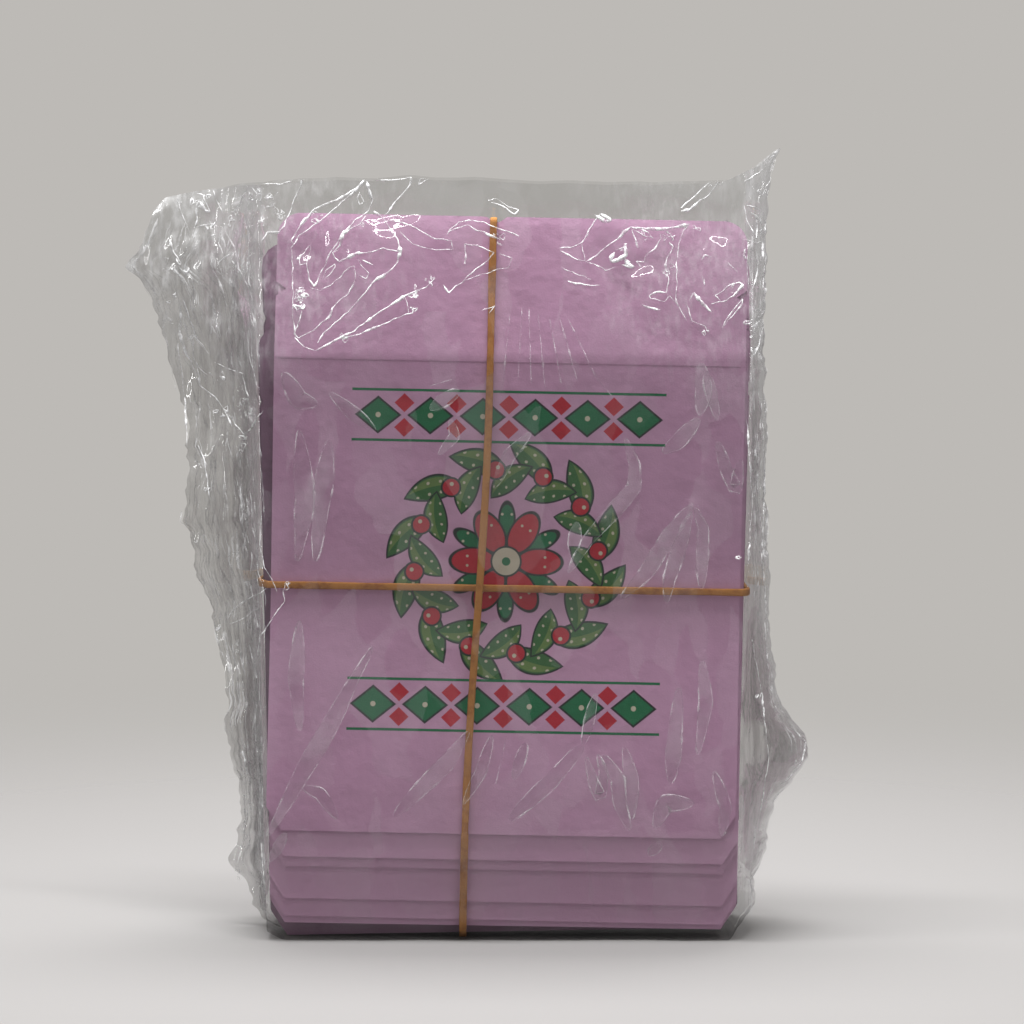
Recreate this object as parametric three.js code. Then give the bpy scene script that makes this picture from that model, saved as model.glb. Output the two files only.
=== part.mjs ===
// A stack of flat zip pouches, held by two crossed rubber bands, standing in a loose clear bag.
// Millimetres, +Z up. The front of the stack faces -Y. The origin is on the ground under the stack's middle.
import * as THREE from 'three';

// One pouch, flat and empty
const pouchWidth = 100;
const pouchHeight = 130;
const pouchThickness = 0.3;
const topCornerRadius = 5;
const bottomCutWidth = 3.2;
const bottomCutHeight = 5;
const notchDepth = 1;
const notchHalfHeight = 0.7;
const notchDrop = 16;
const cornerSegments = 4;

// The stack: how high each pouch's bottom edge stands over the lowest ones, its turn in degrees
// (positive is counter-clockwise from the front) and its shift to the right
const pouchPitch = 0.6;
const lowestEdge = 2.4;
const frontPouches = [
  { rise: 21.1, turn: -1.15, shift: -0.9 },
  { rise: 15.6, turn: -1.08, shift: -0.4 },
  { rise: 13.5, turn: -1.1, shift: -0.4 },
  { rise: 6.5, turn: -1.15, shift: -0.5 },
  { rise: 2.6, turn: -1.25, shift: -0.5 },
  { rise: 1.3, turn: -0.95, shift: -0.5 },
];
const deeperGroups = [
  { count: 14, rise: 0, turn: 0.9, shift: -0.2, loose: 0.5 },
  { count: 17, rise: 16.6, turn: 1.1, shift: 0.6, loose: 1.2 },
  { count: 13, rise: 2.4, turn: -0.3, shift: 0, loose: 1.6 },
];
const turnPerLoose = 0.25;
const stackSeed = 7;

// The rubber bands
const bandWidth = 1.6;
const bandThickness = 1.1;
const bandGap = 0.3;
const uprightBandX = -6;
const uprightBandLean = 0.047;
const levelBandZ = 75;
const levelBandFall = 0.017;
const bandCornerStep = 0.5;

// The clear bag: its film, its half depth over the stack, at the side seams, on the ground and at the
// mouth, and how the depth falls from the stack's sides to the seams
const filmThickness = 0.4;
const bagHalfDepth = 18.6;
const seamHalfDepth = 0.9;
const groundHalfDepth = 15.5;
const groundRounding = 4;
const mouthHalfDepth = 8;
const mouthPinch = 4;
const stackSideLeft = -54;
const stackSideRight = 51.9;
const leastWing = 2.4;
const leftFall = 2.4;
const rightFall = 0.55;
const wingSway = 3.2;
const wingSwayLength = 52;
const sharpestCorner = 0.6;
const coreColumns = 9;
const leftColumns = [1, 0.74, 0.5, 0.3, 0.14];
const rightColumns = [0.25, 0.5, 0.75, 1];
const bagHeights = [0, 2, 6, 12, 18, 25, 31, 37, 43, 50, 58, 66, 76, 88, 100, 112, 122, 130, 136, 142, 148];
const mouthShares = [0.55, 1];

// The bag's outline from the front: [height, x] up each side seam and [x, height] along the mouth's edge
const leftSeam = [
  [0, -49.5], [2, -53.5], [7, -55.2], [13.7, -60], [26, -57.9], [39, -59.4], [58, -61.9], [69, -64],
  [79, -67.2], [87.4, -68.6], [106.3, -68.4], [119, -70.9], [129.5, -74.1], [136, -75.2], [142.5, -80.6],
  [147.4, -78.3], [154.3, -75.6],
];
const rightSeam = [
  [0, 48.5], [2, 50.3], [6, 53.5], [12, 53.4], [17, 56], [28, 57.4], [31.6, 61.7], [37, 65.1],
  [42.1, 64.2], [46.3, 60.6], [51.6, 58.1], [62, 56.8], [93.7, 55.8], [125.3, 54.9], [137.9, 55.2],
  [161, 56], [167.8, 57.9],
];
const mouthEdge = [
  [-75.6, 154.3], [-73, 157.5], [-63.6, 159], [-42.9, 161.5], [-20, 161.5], [-1.5, 161], [39.6, 160.4],
  [46.9, 161.1], [53, 163.5], [57.9, 167.8],
];

const colours = {
  pouch: 0xb18ea6,
  band: 0xb0742c,
  film: 0xdfe2e4,
};

function finish(colour, roughness, opacity = 1) {
  return new THREE.MeshStandardMaterial({
    color: colour,
    roughness,
    metalness: 0,
    opacity,
    transparent: opacity < 1,
  });
}

// Value at a place on a list of [place, value] pairs, joined by straight lines
function along(pairs, place) {
  const next = pairs.findIndex((pair) => pair[0] >= place);
  if (next <= 0) {
    return next === 0 ? pairs[0][1] : pairs.at(-1)[1];
  }
  const [from, to] = [pairs[next - 1], pairs[next]];
  return THREE.MathUtils.mapLinear(place, from[0], to[0], from[1], to[1]);
}

// A pouch's outline: rounded top corners, a tear notch on each side and cut bottom corners
function pouchOutline() {
  const half = pouchWidth / 2;
  const notchZ = pouchHeight - notchDrop;
  const arcZ = pouchHeight - topCornerRadius;
  const outline = new THREE.Shape();
  outline.moveTo(-half + bottomCutWidth, 0);
  outline.lineTo(half - bottomCutWidth, 0);
  outline.lineTo(half, bottomCutHeight);
  outline.lineTo(half, notchZ - notchHalfHeight);
  outline.lineTo(half - notchDepth, notchZ);
  outline.lineTo(half, notchZ + notchHalfHeight);
  outline.lineTo(half, arcZ);
  outline.absarc(half - topCornerRadius, arcZ, topCornerRadius, 0, Math.PI / 2);
  outline.lineTo(-half + topCornerRadius, pouchHeight);
  outline.absarc(-half + topCornerRadius, arcZ, topCornerRadius, Math.PI / 2, Math.PI);
  outline.lineTo(-half, notchZ + notchHalfHeight);
  outline.lineTo(-half + notchDepth, notchZ);
  outline.lineTo(-half, notchZ - notchHalfHeight);
  outline.lineTo(-half, bottomCutHeight);
  outline.closePath();
  return outline;
}

// Every pouch's place: the front ones as listed, the deeper ones by group with a seeded looseness
function stackPlaces() {
  const places = [...frontPouches];
  THREE.MathUtils.seededRandom(stackSeed);
  for (const group of deeperGroups) {
    for (let i = 0; i < group.count; i += 1) {
      places.push({
        rise: group.rise + group.loose * THREE.MathUtils.seededRandom(),
        turn: group.turn + group.loose * turnPerLoose * (2 * THREE.MathUtils.seededRandom() - 1),
        shift: group.shift + group.loose * turnPerLoose * (2 * THREE.MathUtils.seededRandom() - 1),
      });
    }
  }
  const firstY = -((places.length - 1) / 2) * pouchPitch;
  return places.map((place, i) => ({
    x: place.shift,
    y: firstY + i * pouchPitch,
    z: lowestEdge + place.rise,
    turn: THREE.MathUtils.degToRad(place.turn),
  }));
}

function makePouch(name, place) {
  const geometry = new THREE.ExtrudeGeometry(pouchOutline(), {
    depth: pouchThickness,
    bevelEnabled: false,
    curveSegments: cornerSegments,
  });
  geometry.translate(0, 0, -pouchThickness / 2);
  geometry.rotateZ(place.turn);
  geometry.rotateX(Math.PI / 2);
  const pouch = new THREE.Mesh(geometry, finish(colours.pouch, 0.45));
  pouch.name = name;
  pouch.position.set(place.x, place.y, place.z);
  return pouch;
}

// Convex outline round a set of [a, b] points, counter-clockwise
function tightOutline(points) {
  const turning = (o, p, q) => (p[0] - o[0]) * (q[1] - o[1]) - (p[1] - o[1]) * (q[0] - o[0]);
  const sorted = [...points].sort((p, q) => p[0] - q[0] || p[1] - q[1]);
  const halfOutline = (list) => {
    const kept = [];
    for (const point of list) {
      while (kept.length > 1 && turning(kept.at(-2), kept.at(-1), point) <= 0) {
        kept.pop();
      }
      kept.push(point);
    }
    return kept.slice(0, -1);
  };
  return [...halfOutline(sorted), ...halfOutline(sorted.reverse())];
}

// The outline grown by a distance, with its corners rounded
function grownOutline(outline, distance) {
  const grown = [];
  const count = outline.length;
  outline.forEach((here, i) => {
    const before = outline[(i + count - 1) % count];
    const after = outline[(i + 1) % count];
    const start = Math.atan2(here[1] - before[1], here[0] - before[0]) - Math.PI / 2;
    const end = Math.atan2(after[1] - here[1], after[0] - here[0]) - Math.PI / 2;
    const sweep = THREE.MathUtils.euclideanModulo(end - start, 2 * Math.PI);
    const steps = Math.ceil(sweep / bandCornerStep);
    for (let s = 0; s <= steps; s += 1) {
      const angle = start + (sweep * s) / steps;
      grown.push(new THREE.Vector2(
        here[0] + distance * Math.cos(angle),
        here[1] + distance * Math.sin(angle),
      ));
    }
  });
  return grown;
}

// A band stretched round the points: a flat ring with its inside bandGap away from them.
// The three vectors say where the ring's own axes go.
function makeBand(name, points, xAxis, yAxis, zAxis, origin) {
  const tight = tightOutline(points);
  const ring = new THREE.Shape(grownOutline(tight, bandGap + bandThickness));
  ring.holes.push(new THREE.Path(grownOutline(tight, bandGap)));
  const geometry = new THREE.ExtrudeGeometry(ring, { depth: bandWidth, bevelEnabled: false });
  geometry.translate(0, 0, -bandWidth / 2);
  geometry.applyMatrix4(new THREE.Matrix4().makeBasis(xAxis, yAxis, zAxis));
  const band = new THREE.Mesh(geometry, finish(colours.band, 0.55));
  band.name = name;
  band.position.copy(origin);
  return band;
}

// The level band lies in the XY plane and falls a little to the right
function makeLevelBand(places) {
  const points = [];
  for (const place of places) {
    const middle = place.x - Math.tan(place.turn) * (levelBandZ - place.z);
    const half = pouchWidth / 2 / Math.cos(place.turn);
    for (const face of [-pouchThickness / 2, pouchThickness / 2]) {
      points.push([middle - half, place.y + face], [middle + half, place.y + face]);
    }
  }
  return makeBand(
    'band_level',
    points,
    new THREE.Vector3(1, 0, -levelBandFall),
    new THREE.Vector3(0, 1, 0),
    new THREE.Vector3(0, 0, 1),
    new THREE.Vector3(0, 0, levelBandZ),
  );
}

// The upright band lies in the YZ plane, leans to the right and passes over the level band
function makeUprightBand(places) {
  const points = [];
  for (const place of places) {
    const fall = Math.tan(place.turn) * (uprightBandX - place.x);
    const top = pouchHeight / Math.cos(place.turn);
    for (const face of [-pouchThickness / 2, pouchThickness / 2]) {
      points.push([place.y + face, place.z + fall], [place.y + face, place.z + fall + top]);
    }
  }
  const reach = bandGap + bandThickness + pouchThickness / 2;
  for (const z of [levelBandZ - bandWidth / 2, levelBandZ + bandWidth / 2]) {
    points.push([places[0].y - reach, z], [places.at(-1).y + reach, z]);
  }
  return makeBand(
    'band_upright',
    points,
    new THREE.Vector3(0, 1, 0),
    new THREE.Vector3(uprightBandLean, 0, 1),
    new THREE.Vector3(1, 0, 0),
    new THREE.Vector3(uprightBandX - uprightBandLean * levelBandZ, 0, 0),
  );
}

// The bag's half depth over the stack at a row: rounded in at the ground, drawn together at the mouth
function bellyAt(row) {
  if (row.share > 0) {
    return THREE.MathUtils.lerp(bagHalfDepth, mouthHalfDepth, row.share ** mouthPinch);
  }
  const rounding = Math.min(1, Math.sqrt(row.height / groundRounding));
  return THREE.MathUtils.lerp(groundHalfDepth, bagHalfDepth, rounding);
}

// One row of the bag as [x, y] points, counter-clockwise from above: the left seam, the front, the right
// seam, the back. From the stack's side to a seam the depth falls away, and the left wing sways.
function bagRow(row) {
  const left = along(leftSeam, row.height + row.share * (mouthEdge[0][1] - row.height));
  const right = along(rightSeam, row.height + row.share * (mouthEdge.at(-1)[1] - row.height));
  const coreLeft = Math.max(stackSideLeft, left + leastWing);
  const coreRight = Math.min(stackSideRight, right - leastWing);
  const belly = bellyAt(row);
  const sway = wingSway * Math.sin((2 * Math.PI * row.height) / wingSwayLength);
  const depthAt = (t, fall) => seamHalfDepth + (belly - seamHalfDepth) * (1 - t) ** fall;
  const columns = [];
  for (const t of leftColumns) {
    const x = THREE.MathUtils.lerp(coreLeft, left, t);
    columns.push({ x, depth: depthAt(t, leftFall), middle: sway * t });
  }
  for (let i = 0; i <= coreColumns; i += 1) {
    columns.push({ x: THREE.MathUtils.lerp(coreLeft, coreRight, i / coreColumns), depth: belly, middle: 0 });
  }
  for (const t of rightColumns) {
    const x = THREE.MathUtils.lerp(coreRight, right, t);
    columns.push({ x, depth: depthAt(t, rightFall), middle: 0 });
  }
  const front = columns.map(({ x, depth, middle }) => [x, middle - depth]);
  const back = columns.map(({ x, depth, middle }) => [x, middle + depth]).reverse();
  return [...front, ...back];
}

// The row moved inward by the film's thickness, square to its own outline
function innerRow(outline) {
  const count = outline.length;
  return outline.map((here, i) => {
    const before = outline[(i + count - 1) % count];
    const after = outline[(i + 1) % count];
    const inward = [before, here].map((from, k) => {
      const to = [here, after][k];
      return new THREE.Vector2(from[1] - to[1], to[0] - from[0]).normalize();
    });
    const square = inward[0].clone().add(inward[1]).normalize();
    const reach = filmThickness / Math.max(sharpestCorner, square.dot(inward[0]));
    return [here[0] + square.x * reach, here[1] + square.y * reach];
  });
}

// The bag as one closed body: outer wall, rim, inner wall, and a flat floor outside and inside
function makeBag() {
  const rows = [
    ...bagHeights.map((height) => ({ height, share: 0 })),
    ...mouthShares.map((share) => ({ height: bagHeights.at(-1), share })),
  ];
  const positions = [];
  const walls = [rows.map(bagRow), rows.map((row) => innerRow(bagRow(row)))];
  walls.forEach((wall, side) => {
    wall.forEach((outline, j) => {
      const floor = side === 1 && j === 0 ? filmThickness : 0;
      for (const [x, y] of outline) {
        const z = rows[j].height + rows[j].share * (along(mouthEdge, x) - rows[j].height);
        positions.push(x, y, z + floor);
      }
    });
  });
  const round = walls[0][0].length;
  const faces = [];
  const addQuad = (a, b, c, d) => faces.push(a, b, c, a, c, d);
  const at = (side, j, i) => (side * rows.length + j) * round + (i % round);
  const last = rows.length - 1;
  for (let i = 0; i < round; i += 1) {
    for (let j = 0; j < last; j += 1) {
      addQuad(at(0, j, i), at(0, j, i + 1), at(0, j + 1, i + 1), at(0, j + 1, i));
      addQuad(at(1, j, i), at(1, j + 1, i), at(1, j + 1, i + 1), at(1, j, i + 1));
    }
    addQuad(at(0, last, i), at(0, last, i + 1), at(1, last, i + 1), at(1, last, i));
  }
  for (let i = 0; i < round / 2 - 1; i += 1) {
    const behind = round - 1 - i;
    addQuad(at(0, 0, i), at(0, 0, behind), at(0, 0, behind - 1), at(0, 0, i + 1));
    addQuad(at(1, 0, i), at(1, 0, i + 1), at(1, 0, behind - 1), at(1, 0, behind));
  }
  const geometry = new THREE.BufferGeometry();
  geometry.setAttribute('position', new THREE.Float32BufferAttribute(positions, 3));
  geometry.setIndex(faces);
  geometry.computeVertexNormals();
  const bag = new THREE.Mesh(geometry, finish(colours.film, 0.15, 0.3));
  bag.name = 'clear_bag';
  return bag;
}

const bundle = new THREE.Group();
const places = stackPlaces();
places.forEach((place, i) => {
  bundle.add(makePouch(`pouch_${String(i + 1).padStart(2, '0')}`, place));
});
bundle.add(makeLevelBand(places), makeUprightBand(places), makeBag());

export default bundle;
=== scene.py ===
# Dresses a banded stack of flat zip pouches in a loose clear bag. Metres, +Z up, the front faces -Y.
import math

import bpy
import numpy as np
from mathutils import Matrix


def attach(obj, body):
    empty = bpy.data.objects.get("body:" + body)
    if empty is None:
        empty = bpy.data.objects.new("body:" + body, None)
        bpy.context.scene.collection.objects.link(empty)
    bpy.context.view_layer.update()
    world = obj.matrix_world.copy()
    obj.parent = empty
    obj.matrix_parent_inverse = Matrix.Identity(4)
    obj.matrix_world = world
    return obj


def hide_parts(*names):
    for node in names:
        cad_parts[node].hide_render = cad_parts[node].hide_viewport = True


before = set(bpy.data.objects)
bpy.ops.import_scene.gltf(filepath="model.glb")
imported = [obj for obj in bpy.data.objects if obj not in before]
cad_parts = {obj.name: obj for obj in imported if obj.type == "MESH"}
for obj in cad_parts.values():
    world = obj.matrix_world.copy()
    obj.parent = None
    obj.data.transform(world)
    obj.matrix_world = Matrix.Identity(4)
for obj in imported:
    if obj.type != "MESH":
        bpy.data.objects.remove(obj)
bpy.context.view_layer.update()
mm = 0.001
triangleSkew = 0.3660254  # half of the root of 3 less 1: it turns a square lattice into a triangular one


# Meshes from whole arrays

def addPiece(name, points, faces, uvs=None, smooth=True, sharp=None):
    # points is (n, 3), faces is (m, 4) of point numbers, uvs is (n, 2), one for each point
    mesh = bpy.data.meshes.new(name)
    mesh.vertices.add(len(points))
    mesh.vertices.foreach_set("co", np.asarray(points, dtype=np.float32).ravel())
    mesh.loops.add(faces.size)
    mesh.loops.foreach_set("vertex_index", faces.ravel().astype(np.int32))
    mesh.polygons.add(len(faces))
    mesh.polygons.foreach_set("loop_start", np.arange(0, faces.size, faces.shape[1], dtype=np.int32))
    mesh.update(calc_edges=True)
    if smooth:
        mesh.polygons.foreach_set("use_smooth", np.ones(len(faces), dtype=bool))
    if uvs is not None:
        layer = mesh.uv_layers.new(name="UVMap")
        layer.data.foreach_set("uv", np.asarray(uvs, dtype=np.float32)[faces.ravel()].ravel())
    mesh.validate()
    if sharp is not None:
        mesh.set_sharp_from_angle(angle=sharp)
    piece = bpy.data.objects.new(name, mesh)
    bpy.context.scene.collection.objects.link(piece)
    return piece


def gridFaces(rows, columns, closed=False):
    # quads between neighbouring points of a grid, with the last column joined to the first if closed
    across = columns if closed else columns - 1
    low, side = np.meshgrid(np.arange(rows - 1), np.arange(across), indexing="ij")
    after = (side + 1) % columns
    under = low * columns
    over = under + columns
    return np.stack([under + side, under + after, over + after, over + side], axis=-1).reshape(-1, 4)


def smoothStep(low, high, value):
    # 0 below low, 1 above high, and 3t^2 - 2t^3 between them
    t = np.clip((value - low) / (high - low), 0, 1)
    return t * t * (3 - 2 * t)


def turnedCells(x, z, cell, stretch, turn):
    # turned coordinates, counted in cells that are stretch times as long as they are wide
    a = (x * math.cos(turn) + z * math.sin(turn)) / cell
    b = (z * math.cos(turn) - x * math.sin(turn)) / (cell * stretch)
    return a, b


def cellHeights(a, b, seed):
    # random heights from -1 to 1 at the four corners of each place's cell, and the place in its cell
    i = np.floor(a)
    j = np.floor(b)
    table = np.random.default_rng(seed).uniform(-1, 1, (97, 89))
    heights = [
        table[(i + stepI).astype(int) % 97, (j + stepJ).astype(int) % 89]
        for stepI in (0, 1) for stepJ in (0, 1)
    ]
    return heights, a - i, b - j


def facets(x, z, cell, seed, stretch=1.0, turn=0.0):
    # random heights at the corners of a triangular lattice, joined by flat facets
    a, b = turnedCells(x, z, cell, stretch, turn)
    skew = (a + b) * triangleSkew
    (near, up, side, far), fa, fb = cellHeights(a + skew, b + skew, seed)
    upper = near * (1 - fb) + up * (fb - fa) + far * fa
    lower = near * (1 - fa) + side * (fa - fb) + far * fb
    return np.where(fa > fb, lower, upper)


def ripple(x, z, cell, seed, stretch=1.0, turn=0.0):
    # smooth noise: random heights on a square lattice, blended by smooth steps
    a, b = turnedCells(x, z, cell, stretch, turn)
    (near, up, side, far), fa, fb = cellHeights(a, b, seed)
    fa = smoothStep(0, 1, fa)
    fb = smoothStep(0, 1, fb)
    low = near * (1 - fa) + side * fa
    high = up * (1 - fa) + far * fa
    return low * (1 - fb) + high * fb


def wobble(at, cell, seed):
    # the same smooth noise along a line
    return ripple(at, at * 0, cell, seed)


def layered(layers, x, z, seed=0):
    # the sum of layers of facets, each with its height, cell, seed and, if need be, stretch and turn
    return sum(height * facets(x, z, cell, seed + own, *rest) for height, cell, own, *rest in layers)


# Shader sums

def mathOperator(operation, isReflected=False):
    # a Python operator that adds a Math node, whose values are swapped where it is reflected
    def added(wire, other):
        values = [other, wire] if isReflected else [wire, other]
        return wire.sheet.node("ShaderNodeMath", {"operation": operation}, values)
    return added


class Wire:
    # one socket's value, on which Python's operators add Math nodes
    __add__ = mathOperator("ADD")
    __radd__ = mathOperator("ADD", True)
    __sub__ = mathOperator("SUBTRACT")
    __rsub__ = mathOperator("SUBTRACT", True)
    __mul__ = mathOperator("MULTIPLY")
    __rmul__ = mathOperator("MULTIPLY", True)
    __truediv__ = mathOperator("DIVIDE")
    __pow__ = mathOperator("POWER")

    def __init__(self, sheet, socket):
        self.sheet = sheet
        self.socket = socket

    def math(self, operation, *others):
        return self.sheet.node("ShaderNodeMath", {"operation": operation}, [self, *others])

    def __abs__(self):
        return self.math("ABSOLUTE")

    def step(self, low, high):
        # 0 at low and 1 at high, smooth between
        return self.sheet.node(
            "ShaderNodeMapRange",
            {"interpolation_type": "SMOOTHSTEP"},
            {"Value": self, "From Min": low, "From Max": high},
        )


class Sheet:
    # the node tree of one material, or of the world
    def __init__(self, name, owners=bpy.data.materials):
        self.owner = owners.new(name)
        self.owner.use_nodes = True
        self.tree = self.owner.node_tree
        self.tree.nodes.clear()

    def node(self, kind, settings=None, inputs=None, output=0):
        made = self.tree.nodes.new(kind)
        for key, value in (settings or {}).items():
            setattr(made, key, value)
        pairs = inputs.items() if isinstance(inputs, dict) else enumerate(inputs or [])
        for key, value in pairs:
            socket = made.inputs[key]
            if isinstance(value, Wire):
                self.tree.links.new(value.socket, socket)
            elif isinstance(value, tuple) and socket.type == "RGBA":
                socket.default_value = (*value, 1.0) if len(value) == 3 else value
            else:
                socket.default_value = value
        return Wire(self, made.outputs[output]) if len(made.outputs) else None

    def place(self):
        return self.node("ShaderNodeTexCoord", output="Object")

    def part(self, vector, axis):
        return self.node("ShaderNodeSeparateXYZ", None, [vector], output=axis)

    def uv(self):
        source = self.node("ShaderNodeUVMap", {"uv_map": "UVMap"})
        return self.part(source, "X"), self.part(source, "Y")

    def noise(self, vector, scale, detail=2.0, roughness=0.5):
        return self.node(
            "ShaderNodeTexNoise",
            {"noise_dimensions": "3D"},
            {"Vector": vector, "Scale": scale, "Detail": detail, "Roughness": roughness},
        )

    def stretched(self, vector, scale, turn=(0.0, 0.0, 0.0)):
        return self.node("ShaderNodeMapping", None, {"Vector": vector, "Scale": scale, "Rotation": turn})

    def mix(self, factor, first, second):
        return self.node("ShaderNodeMix", {"data_type": "RGBA"}, {0: factor, 6: first, 7: second}, output=2)

    def bump(self, height, strength, distance, under=None):
        inputs = {"Height": height, "Strength": strength, "Distance": distance}
        if under is not None:
            inputs["Normal"] = under
        return self.node("ShaderNodeBump", None, inputs)

    def finish(self, shader, end="ShaderNodeOutputMaterial"):
        self.node(end, None, {"Surface": shader})
        return self.owner


# Camera, stage and lights

bpy.context.scene.view_settings.view_transform = "Standard"

cameraLook = dict(
    pixels=1024,
    pixelsPerMetre=4750.0,  # at the front pouch
    middleX=1.05 * mm,  # what the picture's middle shows
    middleZ=91.2 * mm,
    frontY=-15 * mm,
    distance=0.72,
    elevation=4.0,
    sensor=36.0,
)


def makeCamera(look):
    # the camera looks down by its elevation at the middle of the picture, from its distance
    data = bpy.data.cameras.new("camera")
    shown = look["pixels"] / look["pixelsPerMetre"]
    data.sensor_width = look["sensor"]
    data.lens = look["sensor"] * look["distance"] / shown
    data.clip_start = 0.01
    data.clip_end = 50
    camera = bpy.data.objects.new("camera", data)
    tilt = math.radians(look["elevation"])
    camera.location = (
        look["middleX"],
        look["frontY"] - look["distance"] * math.cos(tilt),
        look["middleZ"] + look["distance"] * math.sin(tilt),
    )
    camera.rotation_euler = (math.pi / 2 - tilt, 0, 0)
    bpy.context.scene.collection.objects.link(camera)
    bpy.context.scene.camera = camera


stageLook = dict(
    size=6.0,
    floor=(0.225, 0.219, 0.217),
    speck=(0.26, 0.25, 0.24),
    fade=(0.0, 0.50),  # the floor melts into the background between these distances
    wall=(0.509, 0.491, 0.468),
    ahead=(0.24, 0.24, 0.24),  # what the film mirrors: a dim room in front, a pale one behind and above
    behind=(0.45, 0.44, 0.43),
    above=(0.9, 0.89, 0.87),
)


def makeStage(look):
    # a pale floor that melts into an even wall colour, and a room that is dim in front
    half = look["size"] / 2
    corners = np.array([[-half, -half, 0], [half, -half, 0], [half, half, 0], [-half, half, 0]])
    floor = addPiece("floor", corners, np.array([[0, 1, 2, 3]]), smooth=False)
    sheet = Sheet("paleFloor")
    place = sheet.place()
    reach = sheet.node("ShaderNodeVectorMath", {"operation": "LENGTH"}, [place], output="Value")
    speck = sheet.noise(place, 900, 3).step(0.2, 0.85)
    grained = sheet.mix(speck * 0.06, look["floor"], look["speck"])
    solid = sheet.node("ShaderNodeBsdfPrincipled", None, {
        "Base Color": grained,
        "Roughness": 0.7,
        "Specular IOR Level": 0.2,
    })
    gone = sheet.node("ShaderNodeBsdfTransparent")
    faded = sheet.node("ShaderNodeMixShader", None, [reach.step(*look["fade"]), solid, gone])
    floor.data.materials.append(sheet.finish(faded))
    room = Sheet("studio", bpy.data.worlds)
    ray = room.node("ShaderNodeTexCoord", output="Generated")
    tone = room.mix(room.part(ray, "Y").step(-0.5, 0.6), look["ahead"], look["behind"])
    tone = room.mix(room.part(ray, "Z").step(0.3, 0.95), tone, look["above"])
    seen = room.node("ShaderNodeLightPath", output="Is Camera Ray")
    tone = room.mix(seen, tone, look["wall"])
    light = room.node("ShaderNodeBackground", None, {"Color": tone, "Strength": 1.0})
    bpy.context.scene.world = room.finish(light, "ShaderNodeOutputWorld")


lightLooks = dict(
    soft=dict(place=(-0.06, -0.15, 0.76), aim=(0, 0, 0.08), size=(0.5, 0.05), power=8.2, mirrored=False),
    rear=dict(place=(0.0, 0.15, 0.76), aim=(0, 0, 0.08), size=(0.5, 0.20), power=7.5, mirrored=False),
    barHigh=dict(place=(0.0, -0.05, 0.74), aim=(0, 0, 0.08), size=(0.55, 0.05), power=0.9, mirrored=True),
    barLow=dict(place=(0.0, -0.42, 0.60), aim=(0, 0, 0.10), size=(0.50, 0.020), power=0.6, mirrored=True),
    barLeft=dict(place=(-0.42, -0.42, 0.26), aim=(0, 0, 0.10), size=(0.014, 0.40), power=0.3, mirrored=True),
    barRight=dict(place=(0.42, -0.42, 0.26), aim=(0, 0, 0.10), size=(0.014, 0.40), power=0.3, mirrored=True),
)


def makeLight(name, look):
    # a rectangular lamp at its place, turned so that it shines at its aim
    data = bpy.data.lights.new(name, "AREA")
    data.shape = "RECTANGLE"
    data.size, data.size_y = look["size"]
    data.energy = look["power"]
    lamp = bpy.data.objects.new(name, data)
    lamp.location = look["place"]
    away = np.array(look["place"]) - np.array(look["aim"])
    flat = math.hypot(away[0], away[1])
    lamp.rotation_euler = (math.atan2(flat, away[2]), 0, math.atan2(away[0], -away[1]))
    lamp.visible_glossy = look["mirrored"]
    bpy.context.scene.collection.objects.link(lamp)


makeCamera(cameraLook)
makeStage(stageLook)
for name, look in lightLooks.items():
    makeLight(name, look)
print("camera, stage and lights are in place")


# The pouches

pouchLook = dict(
    width=99.1 * mm,  # seen from the front, a film pouch is a little narrower than its flat size
    height=130 * mm,
    sink=(0.3 * mm, 1.3 * mm),  # how far the front pouch and the deeper ones sag onto the bag's floor
    sinkMore=0.1 * mm,  # and each one behind the front pouch
    flares=(3.45 * mm, 3.3 * mm, 3.15 * mm, 3.0 * mm, 2.85 * mm, 2.5 * mm),  # bottom edges stand off
    flareHeight=48 * mm,
    shift=0.45 * mm,  # the pouches are drawn this far to the left of their solids
    web=0.15 * mm,  # half the thickness of the flat pouch
    topRadius=5 * mm,
    cutWidth=3.2 * mm,
    cutHeight=5 * mm,
    notchDepth=(2.1 * mm, 0.5 * mm),  # on the front pouches and on the deeper ones
    notchHalf=1.5 * mm,
    notchDrop=16 * mm,
    sealSide=5.5 * mm,
    sealFoot=6 * mm,
    sideFade=(0.9, 1.5),  # the puff grows between these shares of a seal's width
    footFade=(0.9, 1.6),
    topFade=2 * mm,
    puff=0.09 * mm,
    wave=0.05 * mm,
    waveCell=26 * mm,
    zipDrop=(25 * mm, 30.4 * mm),  # the pressed zip rises slowly between these and ends in a sharp step
    zipStep=0.35 * mm,
    zipRise=0.13 * mm,
    zipSide=1.5 * mm,  # the zip ends this far from the side edges
    bow=0.12 * mm,  # how far the front pouch bows out, and its larger and smaller buckles
    buckle=(0.12 * mm, 0.05 * mm),
    bowFade=6 * mm,  # bow and buckles fade in over this width at the side edges
    dipTop=6 * mm,  # the top edge gives way over this height
    frontGrid=(130, 96),  # rows and columns
    grid=(26, 26),
    sealColour=(0.54, 0.31, 0.465),
    colour=(0.57, 0.33, 0.49),
    deepColour=(0.51, 0.285, 0.435),
    shade=0.46,  # painted shade: the inner pouches' colours are darkened to this share of the outer ones'
    shadeEnd=40,  # the pouches behind this one are plain again, without the painted shade
    sideSeal=(5.9, 5.3),  # the seals' colour comes in between these distances from an edge, in millimetres
    footSeal=(6.4, 5.8),
    strayX=0.5 * mm,  # how far the deeper pouches stray sideways
    strayTurn=0.003,
)

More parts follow.
